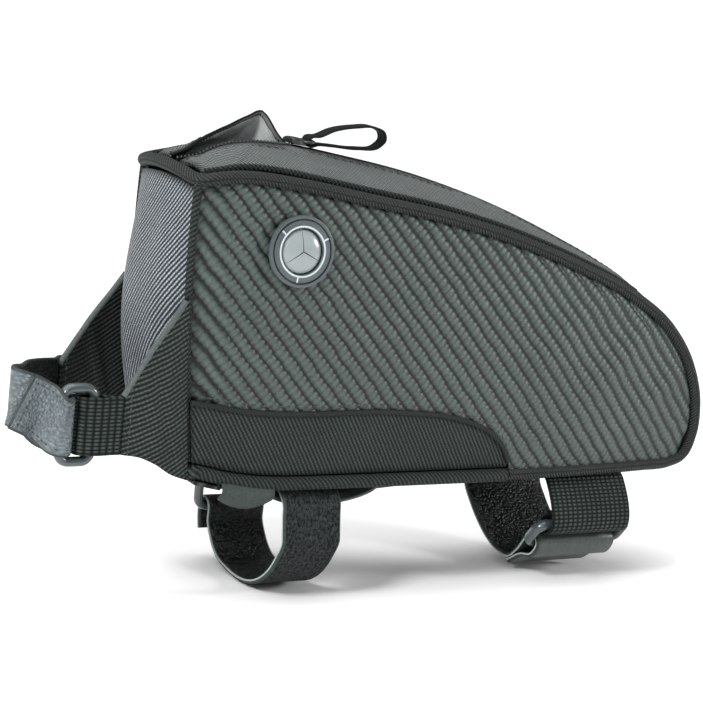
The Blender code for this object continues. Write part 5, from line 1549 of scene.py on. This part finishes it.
def wrap(centre, first, out, radius_first, radius_out, count=7):
    """A half turn round a ring's bar, from its first side past the far side of the bar."""
    first, out = np.array(first) * radius_first, np.array(out) * radius_out
    turns = np.linspace(0, np.pi, count)
    return [np.array(centre) + first * np.cos(turn) + out * np.sin(turn) for turn in turns]


def box_stitch(run, start, length, width, lift):
    """The four lines of a sewn box on a strap."""
    along, aside = start + np.linspace(0, length, 12), np.linspace(-width / 2, width / 2, 12)
    ones = np.ones(12)
    return [
        run.spot(along, -width / 2, lift), run.spot(along, width / 2, lift),
        run.spot(start * ones, aside, lift), run.spot((start + length) * ones, aside, lift),
    ]


class BAG_OT_steerer_strap(bpy.types.Operator):
    """Makes the webbing, the ring and the coated strap that go round the steerer tube"""

    bl_idname = "bag.steerer_strap"
    bl_label = "Steerer strap"

    def execute(self, context):
        top, bottom, inward = WING[-1][1:]
        middle = WING_TOP * (top + bottom) / 2
        lane = float(seam_at(middle)[1]) - inward * HALF_WIDTH - WING_WALL / 2
        front = wing_front(-1.0)
        offset = BAR_OFFSET
        reach = WEBBING_REACH + 2 * offset + STEERER_NOSE
        ring_x, ring_y = front - WEBBING_REACH - offset, -(lane - RING_DEPTH / 2)
        up, out, ahead = UP, np.array([0.0, -1.0, 0.0]), np.array([-1.0, 0.0, 0.0])
        ring_piece("steerer_ring", (ring_x, ring_y, middle), up, (1.0, 0.0, 0.0), WEBBING_WIDTH, "front_ring")

        rear_bar = np.array([ring_x + offset, ring_y, middle])
        stand = RING_DEPTH / 2 + 2 * GAP + WEBBING_WALL / 2
        beyond = RING_WIRE / 2 + WEBBING_SLACK + WEBBING_WALL / 2
        sewn = WEBBING_WALL / 2 + GAP / 2
        outer = [np.array([front - GAP - step, -lane - sewn, middle]) for step in (0.0, 2 * MM)]
        inner = [spot + np.array([0.0, 2 * sewn, 0.0]) for spot in reversed(outer)]
        run = route_of(outer + wrap(rear_bar, out, ahead, stand, beyond) + inner, up, 70)
        section = strap_section(WEBBING_WIDTH, WEBBING_WALL)
        webbing = sweep("steerer_webbing", run, section, (finish("ribbed_webbing"),))
        fit(webbing, "nylon_webbing", "front_webbing")

        shares = smooth_curve(STEERER_LOOP)(np.linspace(0, 1, 26))
        forward, lifted = front - shares[:, 0] * reach, middle + shares[:, 2] * reach
        around = np.stack([forward, shares[:, 1] * HALF_WIDTH, lifted], axis=-1)
        outside = lane + WING_WALL + STRAP_WALL / 2 + GAP / 2
        sewn = [np.array([wing_front(1.0) + step, outside, around[0, 2]]) for step in (6 * MM, 2 * MM)]
        around = np.concatenate([sewn, around[1:]])
        front_bar = np.array([ring_x - offset, ring_y, middle])
        stand, beyond = STRAP_STAND, STRAP_BEYOND
        layer = np.array([0.0, -(STRAP_WALL + 2 * GAP), 0.0])
        tail = [around[-1] + layer, around[-4] + layer * 1.05]
        run = route_of(list(around) + wrap(front_bar, -out, -ahead, stand, beyond) + tail, up, 170)
        kinds = (finish("pebbled_strap_face"), finish("pebbled_strap_back"), finish("cut_edge"))
        if np.dot(run.stand[40], (-1.0, 1.0, 0.0)) < 0:
            kinds = (kinds[1], kinds[0], kinds[2])
        fold = int(np.argmin(np.linalg.norm(run.path - (front_bar - ahead * beyond), axis=1)))
        strap = sweep("steerer_strap", run, strap_section(WEBBING_WIDTH, STRAP_WALL), kinds, turned_from=fold)
        fit(strap, "coated_cloth", "front_strap")
        length = run.arc[-1] - run.arc[fold]
        lift = STRAP_WALL / 2 * (1 if np.dot(run.stand[-3], (0.0, -1.0, 0.0)) > 0 else -1)
        box = box_stitch(run, run.arc[fold] + 3 * MM, length - 5 * MM, WEBBING_WIDTH - 5 * MM, lift)
        fit(along_lines("steerer_box_stitch", "beads_in_a_row", box, Pitch=2.0 * MM, Along=1.5 * MM,
                        Across=0.4 * MM, Material=finish("dark_thread")), "nylon_webbing")
        return {"FINISHED"}


def edge_lines(name, run, width):
    """The pale core of a laminated strap, showing as a thin line along its cut edges."""
    inner = -0.22 * STRAP_WALL if run.stand[np.argmin(run.path[:, 2])][2] < 0 else 0.22 * STRAP_WALL
    edge = width / 2 - 0.12 * MM
    lines = [run.path + run.across * side * edge + run.stand * inner for side in (-1, 1)]
    core = along_lines(name, "covered_cord", lines, Radius=0.34 * MM, Material=finish("sewing_thread"))
    fit(core, "coated_cloth")


def webbing_piece(name, node, bar, side, rise, width):
    """Webbing sewn under the base that goes over its edge and round a ring's upper bar."""
    out = np.cross(rise, (1.0, 0.0, 0.0))
    if np.dot(out, side) < 0:
        out = -out
    stand = RING_DEPTH / 2 + 2 * GAP + WEBBING_WALL / 2
    beyond = RING_WIRE / 2 + 2 * GAP + WEBBING_WALL / 2
    hold = np.array([bar[0], 0.0, 0.0])
    route = [hold + (side * share + UP * drop) * STRAP_SPREAD for share, drop in WEBBING_RUN]
    back = bar - out * (stand - 0.5 * MM) + rise * WEBBING_TAIL
    run = route_of(route + wrap(bar, out, -rise, stand, beyond) + [back], (1.0, 0.0, 0.0), 90)
    piece = sweep(name, run, strap_section(width, WEBBING_WALL, 10), (finish("basket_webbing"),))
    fit(piece, "nylon_webbing", node)


class BAG_OT_tube_straps(bpy.types.Operator):
    """Makes the keeper under the base and both straps round the top tube with their rings and webbing"""

    bl_idname = "bag.tube_straps"
    bl_label = "Top tube straps"

    def execute(self, context):
        self.keeper()
        self.lip()
        self.front()
        self.rear()
        return {"FINISHED"}

    def keeper(self):
        strap_start = TUBE_STRAP_X - TUBE_STRAP_WIDTH / 2 - KEEPER_ROOM
        strap_end = TUBE_STRAP_X + TUBE_STRAP_WIDTH / 2 + KEEPER_TRAIL
        line = np.linspace(KEEPER_START, KEEPER_END, 90)
        slack = np.clip((line - strap_start) / (strap_end - strap_start), 0, 1)
        sag = KEEPER_SAG * np.sin(np.pi * slack) ** 0.65
        across = np.linspace(-1, 1, 40)[None, :]
        half = (STRAP_SPREAD - 1.5 * MM - KEEPER_WAIST * np.sin(np.pi * slack))[:, None]
        fade = 1 - 0.75 * np.clip((line - strap_end) / (KEEPER_END - strap_end), 0, 1)
        lip = KEEPER_LIP * fade[:, None] * np.clip(np.abs(across) - 0.75, 0, 1) / 0.25
        z = (base_under(line) - GAP - sag)[:, None] - lip
        grid = np.stack(np.broadcast_arrays(line[:, None], across * half, z), axis=-1)
        keeper = shell("keeper_cloth", grid, KEEPER_WALL, 1.0, (finish("smooth_strap_face"),))
        round_edges(keeper, 0.4 * MM)
        fit(keeper, "coated_cloth", "keeper_strip")

    def lip(self):
        """The folded satin end of the keeper that hangs over the near edge ahead of the front strap."""
        along, down = np.linspace(0, 1, 26)[:, None], np.linspace(0, 1, 16)[None, :]
        x = KEEPER_START - 1.4 * MM + 20.5 * MM * along
        deep = (3.0 + 5.2 * np.sin(np.pi * np.clip(0.12 + 0.80 * along, 0, 1)) ** 0.8) * MM
        top = 1.0 * MM - 2.0 * MM * along
        y = -(STRAP_SPREAD + 0.7 * MM + 1.5 * MM * np.sin(np.pi * down) - 1.8 * MM * down**2)
        grid = np.stack(np.broadcast_arrays(x, y, top - deep * down), axis=-1)
        lip = shell("keeper_lip", grid, 0.9 * MM, 1.0, (finish("cut_edge"),))
        round_edges(lip, 0.3 * MM)
        fit(lip, "coated_cloth")

    def front(self):
        x, spread, deep = TUBE_STRAP_X, STRAP_SPREAD, TUBE_STRAP_DROP
        loop = [np.array([x, share * spread, down * deep]) for share, down in FRONT_LOOP]
        offset = BAR_OFFSET
        stand, beyond = STRAP_STAND, STRAP_BEYOND
        up, out = UP, np.array([0.0, 1.0, 0.0])
        ring = loop[-1] + out * stand + up * (offset + RING_DEPTH)
        ring_piece("front_tube_ring_body", ring, (1.0, 0.0, 0.0), up, TUBE_STRAP_WIDTH, "front_tube_ring")
        low = ring - up * (offset + RING_DEPTH)
        tail = [low + out * stand, low + out * (stand - TAIL_LEAN) - up * TAIL_DROP]
        run = route_of(loop + wrap(ring - up * offset, -out, up, stand, beyond) + tail, (1.0, 0.0, 0.0), 190)
        kinds = (finish("brushed_loop_pile"), finish("pebbled_strap_back"), finish("cut_edge"))
        if run.stand[np.argmin(run.path[:, 2])][2] > 0:
            kinds = (kinds[1], kinds[0], kinds[2])
        strap = sweep("front_loop_strap", run, strap_section(TUBE_STRAP_WIDTH, STRAP_WALL), kinds)
        fit(strap, "loop_pile", "front_tube_strap")
        edge_lines("front_loop_edges", run, TUBE_STRAP_WIDTH)
        bar = ring + up * offset
        webbing_piece("front_loop_webbing", "front_tube_webbing", bar, out, up, TUBE_STRAP_WIDTH)

    def rear(self):
        x = FRONT_X + REAR_STRAP_ALONG * LENGTH
        spread, deep = STRAP_SPREAD, REAR_STRAP_DROP
        loop = [np.array([x, share * spread, down * deep]) for share, down in REAR_LOOP]
        offset = BAR_OFFSET
        stand, beyond = STRAP_STAND, STRAP_BEYOND
        tilt = np.radians(REAR_RING_TILT)
        side = np.array([0.0, -1.0, 0.0])
        rise = np.array([0.0, -np.sin(tilt), np.cos(tilt)])
        out = np.array([0.0, -np.cos(tilt), -np.sin(tilt)])
        low = loop[-1] + out * stand + rise * RING_WIRE
        ring = low + rise * offset
        along = (1.0, 0.0, 0.0)
        ring_piece("rear_tube_ring_body", ring, along, rise, REAR_STRAP_WIDTH, "rear_tube_ring")
        layer = STRAP_WALL + 2 * GAP
        tail = [
            low + out * stand - rise * RING_WIRE,
            loop[-2] + out * layer * 1.25,
            loop[-3] - np.array([0.0, 0.0, layer]),
        ]
        run = route_of(loop + wrap(low, -out, rise, stand, beyond) + tail, (1.0, 0.0, 0.0), 200)
        kinds = (finish("smooth_strap_face"), finish("pebbled_strap_back"), finish("cut_edge"))
        fold = int(np.argmin(np.linalg.norm(run.path - (low + rise * beyond), axis=1)))
        if run.stand[np.argmin(run.path[:fold - 20, 2])][2] > 0:
            kinds = (kinds[1], kinds[0], kinds[2])
        section = strap_section(REAR_STRAP_WIDTH, STRAP_WALL, 10)
        strap = sweep("rear_loop_strap", run, section, kinds, turned_from=fold)
        fit(strap, "coated_cloth", "rear_tube_strap")
        edge_lines("rear_loop_edges", run, REAR_STRAP_WIDTH)
        bar = ring + rise * offset
        webbing_piece("rear_loop_webbing", "rear_tube_webbing", bar, side, rise, REAR_STRAP_WIDTH)


class BAG_OT_stage(bpy.types.Operator):
    """Makes the pale floor, the soft light and the camera"""

    bl_idname = "bag.stage"
    bl_label = "Floor, light and camera"

    def execute(self, context):
        scene = context.scene
        low = CAD_BOX[0][2] - 1 * MM
        turns = np.linspace(0, 2 * np.pi, 64, endpoint=False)
        rim = [(14 * np.cos(t), 14 * np.sin(t), low) for t in turns]
        made, tree, shader, _ = new_material("pale_paper_floor", 0.9)
        place = add(tree, "ShaderNodeTexCoord").node.outputs["Object"]
        cloud = add(tree, "ShaderNodeTexNoise", {"Vector": place, "Scale": 2.0, "Detail": 2.0})
        ends = {"Factor": cloud, "A": (0.96, 0.96, 0.96, 1), "B": (0.98, 0.98, 0.98, 1)}
        tone = add(tree, "ShaderNodeMix", ends, data_type="RGBA").node.outputs[2]
        tree.links.new(tone, shader.inputs["Base Color"])
        floor = make_piece("floor", rim, [tuple(range(64))], (made,))
        world = bpy.data.worlds.new("studio")
        scene.world = world
        world.use_nodes = True
        world.node_tree.nodes["Background"].inputs["Color"].default_value = (1.0, 1.0, 1.0, 1.0)
        world.node_tree.nodes["Background"].inputs["Strength"].default_value = 0.22
        sun = bpy.data.lights.new("ceiling", "SUN")
        sun.energy, sun.angle = 3.0, np.radians(75)
        ceiling = bpy.data.objects.new("ceiling", sun)
        ceiling.rotation_euler = (np.radians(-8), np.radians(-14), 0.0)
        scene.collection.objects.link(ceiling)
        self.light("key", (-0.85, -0.40, 0.60), 0.22, 9.0)
        self.light("fill", (-0.55, -0.95, 0.55), 0.4, 1.5)
        self.light("rim", (0.92, -0.50, 0.34), 0.18, 6.0)
        scene.view_settings.view_transform = "Standard"
        self.camera(scene)
        return {"FINISHED"}

    def light(self, name, place, size, power):
        lamp = bpy.data.lights.new(name, "AREA")
        lamp.size, lamp.energy = size, power
        made = bpy.data.objects.new(name, lamp)
        made.location = place
        aim = Vector((-0.02, 0.0, 0.04)) - Vector(place)
        made.rotation_euler = aim.to_track_quat("-Z", "Y").to_euler()
        bpy.context.scene.collection.objects.link(made)

    def camera(self, scene):
        azimuth, height, roll = np.radians(CAMERA_ANGLES)
        level = np.cos(height)
        back = Vector((np.sin(azimuth) * level, -np.cos(azimuth) * level, np.sin(height)))
        right = Vector((np.cos(azimuth), np.sin(azimuth), 0.0))
        up = back.cross(right)
        rolled_right = right * np.cos(roll) + up * np.sin(roll)
        rolled_up = up * np.cos(roll) - right * np.sin(roll)
        lens = bpy.data.cameras.new("photo_view")
        lens.sensor_width = SENSOR
        lens.lens = CAMERA_FOCAL / IMAGE * SENSOR
        made = bpy.data.objects.new("photo_view", lens)
        turn = Matrix((rolled_right, rolled_up, back)).transposed().to_4x4()
        made.matrix_world = Matrix.Translation(Vector(CAMERA_AIM) + back * CAMERA_DISTANCE) @ turn
        lens.clip_start, lens.clip_end = 0.01, 50.0
        scene.collection.objects.link(made)
        scene.camera = made


OPERATORS = (
    BAG_OT_sides, BAG_OT_port, BAG_OT_walls, BAG_OT_lid, BAG_OT_piping, BAG_OT_wings, BAG_OT_steerer_strap,
    BAG_OT_tube_straps, BAG_OT_stage,
)


class BAG_PT_panel(bpy.types.Panel):
    """Lists the pieces of the bag"""

    bl_label = "Top tube bag"
    bl_idname = "BAG_PT_panel"
    bl_space_type = "VIEW_3D"
    bl_region_type = "UI"
    bl_category = "Bag"

    def draw(self, context):
        for operator in OPERATORS:
            self.layout.operator(operator.bl_idname)
        for group in (context.scene.bag_sizes, context.scene.bag_colours):
            for name in group.__annotations__:
                self.layout.prop(group, name)


CLASSES = (BagColours, BagSizes, *OPERATORS, BAG_PT_panel)


def register():
    for kind in CLASSES:
        bpy.utils.register_class(kind)
    bpy.types.Scene.bag_colours = PointerProperty(type=BagColours)
    bpy.types.Scene.bag_sizes = PointerProperty(type=BagSizes)


def unregister():
    del bpy.types.Scene.bag_sizes
    del bpy.types.Scene.bag_colours
    for kind in reversed(CLASSES):
        bpy.utils.unregister_class(kind)


def main():
    register()
    for kind in OPERATORS:
        group, name = kind.bl_idname.split(".")
        getattr(getattr(bpy.ops, group), name)()


if __name__ == "__main__":
    main()
